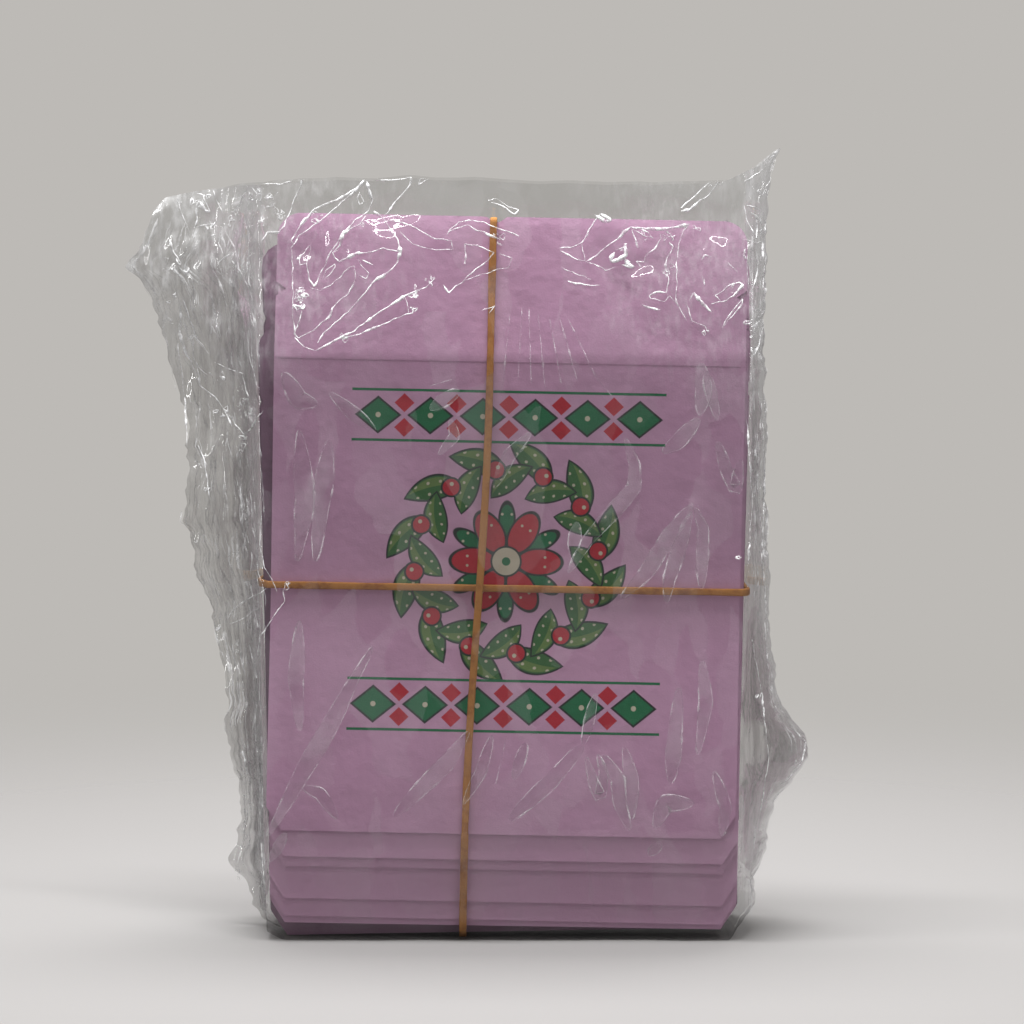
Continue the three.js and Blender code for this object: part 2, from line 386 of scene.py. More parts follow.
bandLook = dict(
    width=1.55 * mm,
    thickness=1.0 * mm,
    gap=0.35 * mm,
    spare=0.05 * mm,  # what one band keeps off the other
    steps=720,
    around=20,
    squareness=0.5,  # 1 is round and 0 is square
    swell=((0.07, 9 * mm), (0.03, 2.5 * mm)),  # how the width swells: shares of it, and cells
    uprightX=-6 * mm,
    lean=0.047,
    levelZ=75 * mm,
    fall=0.017,
    sway=0.55 * mm,
    swayLength=130 * mm,
    swayTop=100 * mm,
    floor=0.12 * mm,  # the lowest that the upright band lies
    zipHeight=100.5 * mm,  # where it lies on the zips
    dip=1.5 * mm,  # the top edge gives way under it
    dipX=-2.2 * mm,
    dipHalf=1.2 * mm,
    colour=(0.46, 0.20, 0.045),
    dark=(0.30, 0.11, 0.025),
    pale=(0.58, 0.35, 0.14),
)


slimLook = dict(  # what the stack loses of its thickness, with heights in millimetres
    waist=(0.06, 75, 22),  # share, height and reach, under the level band
    foot=(0.05, 22),  # share and height
    top=(0.40, 124, 30),  # share, the height where it starts, and the reach over which it is lost
)


def pouchPlace(node, look):
    # the bottom edge's two ends are the lowest corners left and right: they give middle and turn
    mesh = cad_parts[node].data
    points = np.empty(len(mesh.vertices) * 3, dtype=np.float32)
    mesh.vertices.foreach_get("co", points)
    points = points.reshape(-1, 3).astype(float)
    middle = (points[:, 0].min() + points[:, 0].max()) / 2
    left = points[points[:, 0] < middle]
    right = points[points[:, 0] > middle]
    left = left[left[:, 2].argmin()]
    right = right[right[:, 2].argmin()]
    turn = math.atan2(right[2] - left[2], right[0] - left[0])
    foot = (left + right) / 2
    index = int(node[-2:]) - 1
    isFront = index < len(look["flares"])
    stray = np.random.default_rng(index).uniform(-1, 1, 2) * (0 if isFront else 1)
    sink = look["sink"][0] + index * look["sinkMore"] if isFront else look["sink"][1]
    return dict(
        x=foot[0] - look["shift"] + stray[0] * look["strayX"],
        y=(points[:, 1].min() + points[:, 1].max()) / 2,
        z=foot[2] - sink,
        turn=turn + stray[1] * look["strayTurn"],
        flare=look["flares"][index] if isFront else 0.0,
        notch=look["notchDepth"][0 if isFront else 1],
    )


def slimmed(y, z):
    # y times a share that is 1 less a bell at the waist, less a smooth step at the foot, less a straight
    # line from just above the front pouch's zip
    up = z / mm
    waist, waistAt, waistReach = slimLook["waist"]
    foot, footTop = slimLook["foot"]
    top, topStart, topReach = slimLook["top"]
    share = 1 - waist * np.exp(-(((up - waistAt) / waistReach) ** 2)) - foot * smoothStep(footTop, 0, up)
    return y * (share - top * np.maximum(up - topStart, 0) / topReach)


def halfWidth(look, height, notchDepth):
    # half the width at a height: cut bottom corners, a notch, rounded top corners
    full = look["width"] / 2
    cut = full - look["cutWidth"] * (1 - np.clip(height / look["cutHeight"], 0, 1))
    over = np.clip(height - (look["height"] - look["topRadius"]), 0, look["topRadius"])
    rounded = full - look["topRadius"] + np.sqrt(np.maximum(look["topRadius"] ** 2 - over**2, 0))
    notch = np.clip(1 - np.abs(height - look["height"] + look["notchDrop"]) / look["notchHalf"], 0, 1)
    return np.minimum(cut, rounded) - notch * notchDepth


def pouchRows(look, count, finer):
    # even heights, with closer ones at the corners, the notch and the zip; finer is 0 or 1
    even = np.linspace(0, look["height"], count)
    straight = look["height"] - look["topRadius"]
    corner = straight + look["topRadius"] * np.sin(np.linspace(0, math.pi / 2, 5 + 7 * finer))
    notch = look["height"] - look["notchDrop"] + look["notchHalf"] * np.array([-1.02, -1, 0, 1, 1.02])
    cut = np.array([0.0, look["cutHeight"]])
    zips = look["height"] - look["zipDrop"][1] + look["zipStep"] * np.linspace(-1.2, 1, 4 + 8 * finer)
    return np.unique(np.round(np.concatenate([even, corner, notch, cut, zips]), 6))


def makePouch(node, place, look, rows, columns, loose):
    # local x and z on the flat pouch, and y = -+(web + puff inside the seals + zip ribs), then turned
    name = node.replace("pouch_", "zipPouch")
    seed = int(node[-2:])
    heights = pouchRows(look, rows, 1 if loose else 0)
    wide = halfWidth(look, heights, place["notch"])[:, None]
    across = np.linspace(-1, 1, columns)
    edge = np.sign(across) * np.abs(across) ** 0.8
    x = edge[None, :] * wide
    z = np.repeat(heights[:, None], columns, axis=1)
    fromSide = wide - np.abs(x)
    drop = look["height"] - z
    zipTop, zipEnd = look["zipDrop"]
    inside = smoothStep(*(look["sealSide"] * share for share in look["sideFade"]), fromSide)
    inside = inside * smoothStep(*(look["sealFoot"] * share for share in look["footFade"]), z)
    inside = inside * smoothStep(0, 1, drop / look["topFade"])
    pressed = smoothStep(zipTop, zipEnd, drop) * smoothStep(zipEnd + look["zipStep"], zipEnd, drop)
    relief = look["puff"] * inside + look["zipRise"] * pressed * (fromSide > look["zipSide"])
    wave = ripple(x, z, look["waveCell"], seed, 1.6) * look["wave"]
    front = -(look["web"] + relief) + wave
    back = look["web"] + relief + wave
    if loose:
        front = front - loose(x, z, fromSide)
    ring = np.concatenate([np.stack([x, front, z], -1), np.stack([x, back, z], -1)[:, ::-1]], axis=1)
    turned = np.empty_like(ring)
    cos = math.cos(place["turn"])
    sin = math.sin(place["turn"])
    turned[..., 0] = place["x"] + ring[..., 0] * cos - ring[..., 2] * sin
    turned[..., 2] = place["z"] + ring[..., 0] * sin + ring[..., 2] * cos
    dip = bandLook["dip"] * np.exp(-(((turned[..., 0] - bandLook["dipX"]) / bandLook["dipHalf"]) ** 2))
    turned[..., 2] -= dip * smoothStep(look["height"] - look["dipTop"], look["height"], ring[..., 2])
    turned[..., 1] = slimmed(place["y"] + ring[..., 1], turned[..., 2])
    turned[..., 1] -= place["flare"] * smoothStep(look["flareHeight"], 0, ring[..., 2])
    count = 2 * columns
    walls = gridFaces(len(heights), count, closed=True)
    near = np.arange(columns - 1)
    far = count - 1 - near
    foot = np.stack([near, far, far - 1, near + 1], -1)
    top = (len(heights) - 1) * count + np.stack([near, near + 1, far - 1, far], -1)
    uvs = np.stack([ring[..., 0] / look["width"] + 0.5, ring[..., 2] / look["height"]], -1)
    uvs[:, columns:, 0] = -uvs[:, columns:, 0]  # the back is laid out left of the front
    faces = np.concatenate([walls, foot, top])
    return addPiece(name, turned.reshape(-1, 3), faces, uvs.reshape(-1, 2), sharp=0.7)


def pouchMaterial(name, look, shade=1.0, printed=False):
    # matt film: faint mottling, slightly darker seals, fine grain in its roughness and bump; a shade under 1
    # darkens all its colours as painted shade
    sheet = Sheet(name)
    place = sheet.place()
    across, up = sheet.uv()
    mottle = sheet.noise(place, 45, 4, 0.6).step(0.3, 0.75)
    plain, deep, sealed = (
        tuple(shade * part for part in look[key]) for key in ("colour", "deepColour", "sealColour")
    )
    base = sheet.mix(mottle * 0.35, plain, deep)
    side = (0.5 - abs(across - 0.5)) * (look["width"] / mm)
    foot = up * (look["height"] / mm)
    seal = side.step(*look["sideSeal"]).math("MAXIMUM", foot.step(*look["footSeal"]))
    base = sheet.mix(seal * 0.5, base, sealed)
    grain = sheet.noise(place, 2600, 2)
    if printed:
        base = printedDesign(sheet, base, across, up, printLook)
    return sheet.finish(sheet.node("ShaderNodeBsdfPrincipled", None, {
        "Base Color": base,
        "Roughness": 0.40 + 0.12 * mottle,
        "Specular IOR Level": 0.42,
        "Normal": sheet.bump(grain, 0.12, 0.0004, sheet.bump(mottle, 0.2, 0.002)),
    }))


# The print: a wreath round a flower, between two rows of lozenges, in pouch millimetres

printLook = dict(
    soft=0.09,  # how far each edge fades
    leafGreen=(0.035, 0.14, 0.035),
    lightGreen=(0.13, 0.22, 0.06),
    deepGreen=(0.004, 0.15, 0.055),
    outline=(0.012, 0.018, 0.016),
    red=(0.46, 0.012, 0.03),
    cream=(0.56, 0.52, 0.40),
    middle=57.5,
    ring=19.5,
    leaves=12,
    leafLength=6.2,
    leafHalf=2.7,
    leafTilt=0.62,
    leafShift=2.2,  # leaves lie in and out of the ring by turns
    leafLight=0.25,  # where the light half begins
    leafDot=0.3,
    leafDots=(2.4, 5.8, 1.1),  # the dots' pitch, about its square, and how far they lie from the middle line
    outlineWidth=0.42,
    berry=1.75,
    shine=0.42,
    shineShift=0.5,
    petals=6,
    petalReach=7.0,
    petalLong=5.2,
    petalWide=3.0,
    backReach=1.8,  # the green petals reach this much farther, and are this much shorter and narrower
    backShare=(0.8, 0.62),
    petalDot=0.28,
    petalDots=(1.2, 1.0),
    heart=2.9,
    heartDot=0.9,
    rows=(88.0, 27.0),
    rowReach=33.0,
    lozengePitch=11.0,
    lozengeHalf=(4.9, 4.0),
    lozengeDot=0.55,
    smallHalf=(2.1, 2.0),
    smallShift=2.6,
    ruleDrop=5.3,
    ruleHalf=0.28,
)


def printedDesign(sheet, base, across, up, look):
    # each shape is a sum that is above 0 inside it, and the inks are laid over each other in turn
    x = (across - 0.5) * (pouchLook["width"] / mm)
    z = up * (pouchLook["height"] / mm) - look["middle"]
    line = look["outlineWidth"]

    def apart(p, q):
        return (p * p + q * q) ** 0.5

    def inked(ink, under, inside):
        return sheet.mix(inside.step(-look["soft"], look["soft"]), under, look[ink])

    def sector(count, shift):
        # the angle from the middle of the nearest of count equal sectors
        part = angle * (count / (2 * math.pi)) + shift
        return (part.math("FRACT") - 0.5) * (2 * math.pi / count)

    reach = apart(x, z)
    angle = z.math("ARCTAN2", x)
    paint = base
    # leaves along the ring, tilted in and out by turns
    pitch, spread, dotsAway = look["leafDots"]
    for shift, tilt in ((0.0, look["leafTilt"]), (0.5, -look["leafTilt"])):
        along = sector(look["leaves"], shift) * look["ring"]
        over = reach - look["ring"] - look["leafShift"] * math.copysign(1, tilt)
        p = along * math.cos(tilt) + over * math.sin(tilt)
        q = over * math.cos(tilt) - along * math.sin(tilt)
        rim = look["leafHalf"] * (1 - (p / look["leafLength"]) ** 2.0) - abs(q)
        paint = inked("outline", paint, rim)
        paint = inked("leafGreen", paint, rim - line)
        light = (rim - line * 1.6).math("MINIMUM", q - look["leafLight"])
        paint = inked("lightGreen", paint, light)
        step = (p / pitch).math("FRACT") - 0.5
        aside = abs(q) - dotsAway
        dot = look["leafDot"] - (step * step * spread + aside * aside) ** 0.5
        paint = inked("cream", paint, dot.math("MINIMUM", rim - 0.6))
    # berries between the leaves
    along = sector(look["leaves"], 0.25) * look["ring"]
    over = reach - look["ring"]
    away = apart(along, over)
    paint = inked("outline", paint, look["berry"] + line - away)
    paint = inked("red", paint, look["berry"] - away)
    shine = apart(along + look["shineShift"], over - look["shineShift"])
    paint = inked("cream", paint, look["shine"] - shine)
    # the flower's petals, with speckles, round a cream heart
    long, wide = look["petalLong"], look["petalWide"]
    longShare, wideShare = look["backShare"]
    for shift, ink, far, halfLong, halfWide in (
        (0.0, "deepGreen", look["petalReach"] + look["backReach"], long * longShare, wide * wideShare),
        (0.5, "red", look["petalReach"], long, wide),
    ):
        turn = sector(look["petals"], shift)
        p = reach * turn.math("COSINE") - far
        q = reach * turn.math("SINE")
        rim = halfWide * (1 - apart(p / halfLong, q / halfWide))
        paint = inked("outline", paint, rim)
        paint = inked(ink, paint, rim - line)
        speckle = apart(p - look["petalDots"][0], abs(q) - look["petalDots"][1])
        paint = inked("cream", paint, look["petalDot"] - speckle)
    paint = inked("outline", paint, look["heart"] + line - reach)
    paint = inked("cream", paint, look["heart"] - reach)
    paint = inked("deepGreen", paint, look["heartDot"] - reach)
    # rows of lozenges with small red ones between, and a rule over and under each row
    ends = look["rowReach"] - abs(x)
    for height in look["rows"]:
        over = z + (look["middle"] - height)
        p = ((x / look["lozengePitch"]).math("FRACT") - 0.5) * look["lozengePitch"]
        rim = (1 - abs(p) / look["lozengeHalf"][0] - abs(over) / look["lozengeHalf"][1]) * 3.0
        rim = rim.math("MINIMUM", ends)
        paint = inked("outline", paint, rim)
        paint = inked("deepGreen", paint, rim - line)
        paint = inked("cream", paint, (look["lozengeDot"] - apart(p, over)).math("MINIMUM", ends))
        side = look["lozengePitch"] / 2 - abs(p)
        high = abs(abs(over) - look["smallShift"])
        small = (1 - side / look["smallHalf"][0] - high / look["smallHalf"][1]) * 1.4
        paint = inked("red", paint, small.math("MINIMUM", ends - look["smallShift"]))
        rule = (look["ruleHalf"] - abs(abs(over) - look["ruleDrop"])).math("MINIMUM", ends)
        paint = inked("deepGreen", paint, rule)
    return paint


def frontLooseness(x, z, fromSide):
    # how far the front pouch's face stands forward: an arch over its height, and two sizes of buckles
    look = pouchLook
    large, small = look["buckle"]
    bow = look["bow"] * np.sin(np.clip(z / look["height"], 0, 1) * math.pi)
    buckle = large * ripple(x, z, 17 * mm, 5, 2.2, 0.2) + small * ripple(x, z, 7 * mm, 9, 1.5)
    return (bow + buckle) * smoothStep(0, look["bowFade"], fromSide)


pouchNodes = sorted(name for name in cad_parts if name.startswith("pouch_"))
places = [pouchPlace(node, pouchLook) for node in pouchNodes]
plainFilm = pouchMaterial("lilacFilm", pouchLook)
# a darker copy of the film for the inner pouches: painted shade between them
paintedShadeFilm = pouchMaterial("lilacFilmPaintedShade", pouchLook, pouchLook["shade"])
printedFilm = pouchMaterial("printedLilacFilm", pouchLook, printed=True)
for index, (node, place) in enumerate(zip(pouchNodes, places)):
    isFront = index == 0
    isInner = len(pouchLook["flares"]) <= index < pouchLook["shadeEnd"]
    rows, columns = pouchLook["frontGrid"] if isFront else pouchLook["grid"]
    pouch = makePouch(node, place, pouchLook, rows, columns, frontLooseness if isFront else None)
    # the inner pouches wear the painted shade
    plain = paintedShadeFilm if isInner else plainFilm
    pouch.data.materials.append(printedFilm if isFront else plain)
    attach(pouch, "root")
    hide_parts(node)
print("pouches:", len(pouchNodes))


# The rubber bands

def tightOutline(points):
    # the convex outline of (a, b) points, counter-clockwise
    def turning(o, p, q):
        return (p[0] - o[0]) * (q[1] - o[1]) - (p[1] - o[1]) * (q[0] - o[0])

    def hull(ordered):
        kept = []
        for point in ordered:
            while len(kept) > 1 and turning(kept[-2], kept[-1], point) <= 0:
                kept.pop()
            kept.append(point)
        return kept[:-1]

    ordered = sorted(points)
    return np.array(hull(ordered) + hull(ordered[::-1]))


def roundOutline(outline, reach, steps):
    # the outline grown by reach with arcs at its corners, at even steps along its length
    before = np.roll(outline, 1, axis=0)
    after = np.roll(outline, -1, axis=0)
    start = np.arctan2(*(outline - before).T[::-1]) - math.pi / 2
    sweep = (np.arctan2(*(after - outline).T[::-1]) - math.pi / 2 - start) % (2 * math.pi)
    share = np.linspace(0, 1, 9)
    angles = start[:, None] + sweep[:, None] * share[None, :]
    grown = outline[:, None, :] + reach * np.stack([np.cos(angles), np.sin(angles)], -1)
    grown = np.concatenate([grown.reshape(-1, 2), grown[0, :1]])
    length = np.concatenate([[0], np.cumsum(np.hypot(*np.diff(grown, axis=0).T))])
    at = np.linspace(0, length[-1], steps, endpoint=False)
    return np.stack([np.interp(at, length, grown[:, k]) for k in (0, 1)], -1), at


def makeBand(name, node, points, toWorld, look, seed):
    # a rounded strip carried round the tight outline, its width swelling a little along the way
    outline = tightOutline(points)
    middle, at = roundOutline(outline, look["gap"] + look["thickness"] / 2, look["steps"])
    along = np.roll(middle, -1, axis=0) - np.roll(middle, 1, axis=0)
    along = along / np.hypot(*along.T)[:, None]
    out = np.stack([along[:, 1], -along[:, 0]], -1)
    angle = np.linspace(0, 2 * math.pi, look["around"], endpoint=False)
    side, depth = (
        np.sign(part) * np.abs(part) ** look["squareness"] * look[key] / 2
        for part, key in ((np.cos(angle), "width"), (np.sin(angle), "thickness"))
    )
    swell = 1 + sum(share * wobble(at, cell, seed + k) for k, (share, cell) in enumerate(look["swell"]))
    ring = middle[:, None, :] + out[:, None, :] * depth[None, :, None]
    cross = side[None, :] * swell[:, None]
    points3 = toWorld(ring[..., 0], ring[..., 1], cross)
    faces = gridFaces(look["steps"], len(angle), closed=True)
    last = (look["steps"] - 1) * len(angle)
    here = np.arange(len(angle))
    there = (here + 1) % len(angle)
    joint = np.stack([last + here, last + there, there, here], -1)
    uvs = np.stack([
        np.repeat(at[:, None] / at[-1], len(angle), 1),
        np.repeat(angle[None, :] / (2 * math.pi), look["steps"], 0),
    ], -1)
    band = addPiece(name, points3.reshape(-1, 3), np.concatenate([faces, joint]), uvs.reshape(-1, 2))
    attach(band, "root")
    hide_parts(node)
    return band


def levelToWorld(a, b, cross):
    return np.stack([a, b, bandLook["levelZ"] - bandLook["fall"] * a + cross], -1)


def uprightCourse(height, look):
    # x up the upright band: a straight lean with a long wave on it
    lean = look["uprightX"] + look["lean"] * (height - look["levelZ"])
    return lean + look["sway"] * np.cos(2 * math.pi * (height - look["swayTop"]) / look["swayLength"])


def uprightToWorld(a, b, cross):
    # under the stack the band is pressed flat on the bag's floor
    b = np.maximum(b, bandLook["floor"])
    return np.stack([uprightCourse(b, bandLook) + cross, a, b], -1)


def bandMaterial(look):
    # amber rubber with darker patches along its length, and fine dust
    sheet = Sheet("amberRubber")
    place = sheet.place()
    patches = sheet.noise(place, 260, 3, 0.65)
    streaks = sheet.noise(place, 1500, 3, 0.6)
    base = sheet.mix(patches.step(0.45, 0.72), look["colour"], look["dark"])
    base = sheet.mix(streaks.step(0.55, 0.8) * 0.5, base, look["pale"])
    return sheet.finish(sheet.node("ShaderNodeBsdfPrincipled", None, {
        "Base Color": base,
        "Roughness": 0.42 + 0.2 * streaks,
        "Specular IOR Level": 0.45,
        "Normal": sheet.bump(streaks, 0.35, 0.0002),
    }))


def bandCourses(look):
    # the points that each band goes round: (x, y) at the level band's height, and (y, z) up the stack
    level = []
    upright = []
    half = pouchLook["width"] / 2
    for place in places:
        middle = place["x"] - math.tan(place["turn"]) * (look["levelZ"] - place["z"])
        foot = place["z"] + math.tan(place["turn"]) * (look["uprightX"] - place["x"])
        for face in (-pouchLook["web"], pouchLook["web"]):
            y = place["y"] + face
            deep = slimmed(y, look["levelZ"])
            level += [(middle - half, deep), (middle + half, deep)]
            upright.append((slimmed(y, foot) - place["flare"], foot))
            for up in (look["zipHeight"], pouchLook["height"] - look["dip"]):
                upright.append((slimmed(y, foot + up), foot + up))
    # where they cross, the upright band lies on the level one
    reach = look["gap"] + look["thickness"] + pouchLook["web"] + look["spare"]
    for end, sign in ((places[0], -1), (places[-1], 1)):
        for rise in (-0.5, 0.5):
            deep = slimmed(end["y"], look["levelZ"]) + sign * reach
            upright.append((deep, look["levelZ"] + rise * look["width"]))
    return level, upright


levelPoints, uprightPoints = bandCourses(bandLook)
rubber = bandMaterial(bandLook)
levelBand = makeBand("levelRubberBand", "band_level", levelPoints, levelToWorld, bandLook, 21)
uprightBand = makeBand("uprightRubberBand", "band_upright", uprightPoints, uprightToWorld, bandLook, 31)
for band in (levelBand, uprightBand):
    band.data.materials.append(rubber)
print("rubber bands are on")


# The clear bag

# creases, sparkles and folds, noted on the photograph in its pixels
# these creases, sparkles and folds become white ridges: partly whitened film, partly painted highlights
boldCreases = (
    ((292, 248), (300, 236), (311, 228), (323, 220), (333, 211), (346, 200), (358, 189), (366, 180)),
    ((295, 248), (292, 241), (301, 226), (315, 210), (335, 201), (346, 196), (358, 188)),
    ((366, 180), (389, 181), (411, 179), (410, 186), (398, 200), (383, 219)),
    ((366, 180), (369, 191), (373, 201), (369, 212), (355, 221), (340, 240), (331, 253), (325, 266),
     (320, 276), (315, 287), (310, 281), (307, 264)),
    ((374, 213), (383, 219), (391, 230), (398, 241), (401, 253), (398, 263), (389, 273), (376, 281),
     (363, 296), (350, 311), (335, 324), (325, 334), (319, 343)),
    ((401, 253), (393, 251), (384, 249), (373, 253), (358, 254), (348, 258), (340, 263), (335, 258),
     (333, 253), (340, 250)),
    ((366, 215), (360, 225), (350, 230), (343, 236), (340, 246), (333, 254)),
    ((316, 351), (330, 344), (343, 337), (355, 331), (366, 322), (379, 313), (393, 304), (406, 296),
     (419, 291), (427, 288), (436, 278)),
    ((343, 339), (360, 334), (376, 328), (389, 322), (401, 317), (413, 313), (414, 306)),
    ((260, 184), (282, 185), (304, 177), (300, 190), (294, 200), (290, 213), (285, 225), (280, 233),
     (268, 233), (262, 243)),
    ((447, 235), (451, 230), (459, 223), (469, 221), (484, 223), (500, 230), (519, 237)),
    ((465, 264), (466, 256), (465, 245), (476, 246), (489, 251), (494, 253), (489, 261), (476, 269),
     (469, 276), (463, 283), (456, 286), (449, 294), (444, 286)),
    ((585, 263), (596, 256), (608, 246), (618, 239), (631, 228), (646, 230), (660, 230), (676, 228),
     (689, 225)),
    ((560, 249), (572, 248), (582, 243), (587, 236), (593, 223), (600, 215), (610, 221), (605, 223),
     (595, 215)),
    ((711, 304), (716, 303), (726, 301), (736, 293), (742, 286), (739, 283), (729, 286), (719, 293),
     (714, 296), (719, 301)),
    ((688, 301), (693, 293), (698, 301), (706, 307), (711, 314)),
    ((615, 253), (610, 258), (611, 263), (618, 261), (625, 256), (626, 244), (623, 249), (616, 251)),
    ((625, 258), (626, 264), (633, 268), (621, 266)),
    ((681, 208), (691, 200), (701, 190), (714, 180), (719, 178), (714, 188), (709, 196), (701, 201),
     (689, 211), (681, 212)),
    ((175, 304), (174, 336), (178, 352), (188, 373)),
    ((190, 365), (193, 389), (210, 401), (219, 413), (226, 428)),
    ((219, 413), (232, 428), (241, 438), (251, 428), (264, 410)),
    ((191, 448), (197, 461), (202, 484), (204, 503)),
)
fineCreases = (
    ((292, 250), (293, 266), (294, 291), (294, 316), (296, 334), (300, 338), (315, 330), (330, 317),
     (333, 309), (340, 301), (350, 293), (356, 279), (355, 266)),
    ((355, 266), (350, 268), (340, 278), (330, 286), (320, 291), (311, 288)),
    ((296, 337), (305, 347), (316, 351)), ((303, 309), (300, 321), (296, 332)),
    ((307, 264), (311, 250), (310, 246), (305, 253), (300, 256), (300, 266), (306, 264)),
    ((360, 193), (358, 200), (360, 206), (364, 203), (361, 195)),
    ((323, 279), (326, 271), (335, 264), (336, 268), (330, 276), (325, 280)),
    ((358, 258), (361, 266), (369, 274), (366, 279), (360, 276), (358, 273)), ((363, 261), (374, 266)),
    ((406, 298), (409, 313)), ((431, 179), (421, 180), (419, 186), (431, 179)),
    ((489, 201), (497, 200), (509, 208), (519, 211), (514, 215), (504, 208), (492, 203)),
    ((449, 233), (459, 228), (469, 226), (476, 231), (489, 235), (500, 241)),
    ((465, 281), (479, 276), (495, 271), (509, 268), (512, 259), (500, 254)),
    ((482, 311), (491, 308), (495, 306), (489, 314)),
    ((386, 221), (403, 223), (419, 230), (436, 240), (452, 241), (453, 250), (436, 251), (413, 245),
     (401, 233)),
    ((689, 225), (683, 231), (679, 244), (676, 263), (676, 288), (675, 302), (679, 309), (686, 321)),
    ((585, 263), (593, 264), (605, 271), (615, 268)),
    ((582, 244), (583, 253), (585, 261), (577, 261), (570, 256), (560, 251)),
    ((631, 228), (633, 236), (638, 249), (636, 241), (631, 231)),
    ((633, 231), (643, 236), (653, 239), (648, 233), (640, 230)),
    ((660, 233), (661, 239), (655, 249), (646, 256), (643, 263), (636, 262), (641, 268)),
    ((669, 243), (673, 248), (666, 259), (666, 273), (668, 279), (666, 293), (656, 293), (648, 296),
     (650, 299), (663, 302), (669, 296), (674, 302)),
    ((701, 276), (704, 286), (703, 278)),
    ((721, 328), (727, 317), (736, 306), (742, 299), (741, 304), (732, 316), (721, 328)),
    ((701, 261), (704, 256), (711, 258)), ((726, 263), (731, 266), (736, 273)),
    ((686, 304), (688, 312), (691, 321), (704, 327), (708, 334)), ((560, 268), (573, 273), (590, 280)),
    ((568, 282), (582, 285), (600, 286)), ((640, 305), (653, 309), (660, 310)),
    ((744, 183), (756, 175), (767, 167)), ((782, 145), (777, 155), (771, 158)),
    ((780, 158), (777, 166), (774, 180), (767, 188), (764, 195)),
    ((746, 206), (756, 208), (764, 213), (768, 223), (767, 234), (766, 226), (759, 220), (751, 213)),
    ((757, 216), (757, 230), (756, 239)), ((744, 206), (747, 223), (754, 236)),
    ((742, 240), (757, 244), (764, 241), (764, 263)), ((759, 259), (757, 274), (752, 289), (746, 297)),
    ((747, 256), (747, 279), (747, 294)), ((767, 276), (764, 289)),
    ((749, 347), (752, 356), (759, 347), (761, 336), (766, 327), (761, 321), (754, 326)),
    ((174, 201), (178, 214), (185, 233)),
    ((193, 193), (199, 195), (206, 211), (201, 210), (195, 201), (192, 206), (193, 219), (190, 228)),
    ((209, 188), (213, 199), (218, 212)), ((190, 228), (199, 225), (208, 224), (215, 227)),
    ((214, 243), (219, 253)), ((215, 263), (221, 258), (232, 253)),
    ((225, 225), (230, 214), (238, 204), (247, 188)), ((252, 188), (260, 199)), ((271, 206), (278, 193)),
    ((165, 240), (169, 253), (175, 260)), ((178, 301), (184, 317), (191, 341), (203, 356)),
    ((187, 336), (187, 360), (193, 371), (201, 377)), ((171, 345), (175, 378), (178, 410), (181, 450)),
    ((209, 364), (223, 371), (240, 375), (243, 391), (248, 399)),
    ((220, 628), (227, 616), (246, 603), (267, 588)), ((223, 633), (242, 622), (262, 605)),
    ((262, 515), (260, 544), (265, 567), (273, 578), (277, 591)),
    ((256, 658), (258, 639), (267, 626), (285, 601), (284, 588)),
    ((230, 880), (238, 840), (244, 800), (236, 760)), ((252, 905), (262, 880), (256, 850)),
    ((797, 735), (812, 752), (806, 772), (788, 790)), ((752, 640), (764, 700), (770, 760), (762, 820)),
    ((746, 420), (752, 500), (748, 560)), ((762, 400), (768, 480), (764, 560), (772, 640)),
)
sparkles = (  # a place, its reach, and the number of small creases there, drawn as white ridges: partly whitened film, partly painted glints
    (301, 296, 7, 26), (301, 306, 4, 6), (414, 293, 6, 8), (430, 281, 5, 7), (345, 337, 4, 5),
    (315, 218, 7, 6), (363, 225, 2, 2), (499, 240, 7, 6), (280, 216, 7, 6), (267, 200, 8, 5),
    (413, 309, 4, 3), (300, 256, 4, 3), (620, 256, 9, 9), (669, 236, 6, 6), (668, 269, 6, 6),
    (643, 238, 4, 3), (706, 332, 3, 3), (757, 312, 9, 8), (752, 337, 5, 3), (764, 230, 4, 4),
    (766, 279, 4, 3), (729, 289, 7, 4), (696, 230, 3, 2), (719, 185, 4, 2), (742, 256, 3, 3),
    (754, 349, 4, 3), (180, 197, 11, 6), (199, 201, 7, 5), (230, 219, 9, 6), (254, 193, 9, 6),
    (171, 269, 13, 9), (208, 228, 8, 5), (228, 271, 8, 6), (265, 221, 6, 4), (282, 217, 6, 4),
    (158, 323, 8, 4), (166, 299, 6, 4), (212, 378, 6, 3), (215, 415, 7, 5), (244, 410, 9, 8),
    (247, 264, 5, 3), (187, 341, 5, 3), (241, 438, 5, 4), (237, 448, 5, 3), (287, 584, 3, 3),
    (212, 641, 5, 3), (235, 656, 8, 3), (193, 463, 6, 3), (200, 492, 5, 3), (700, 184, 8, 3),
    (754, 325, 8, 4), (764, 190, 6, 3), (740, 560, 4, 2), (232, 890, 7, 3), (246, 810, 8, 3),
    (760, 700, 6, 2), (800, 770, 6, 2),
)
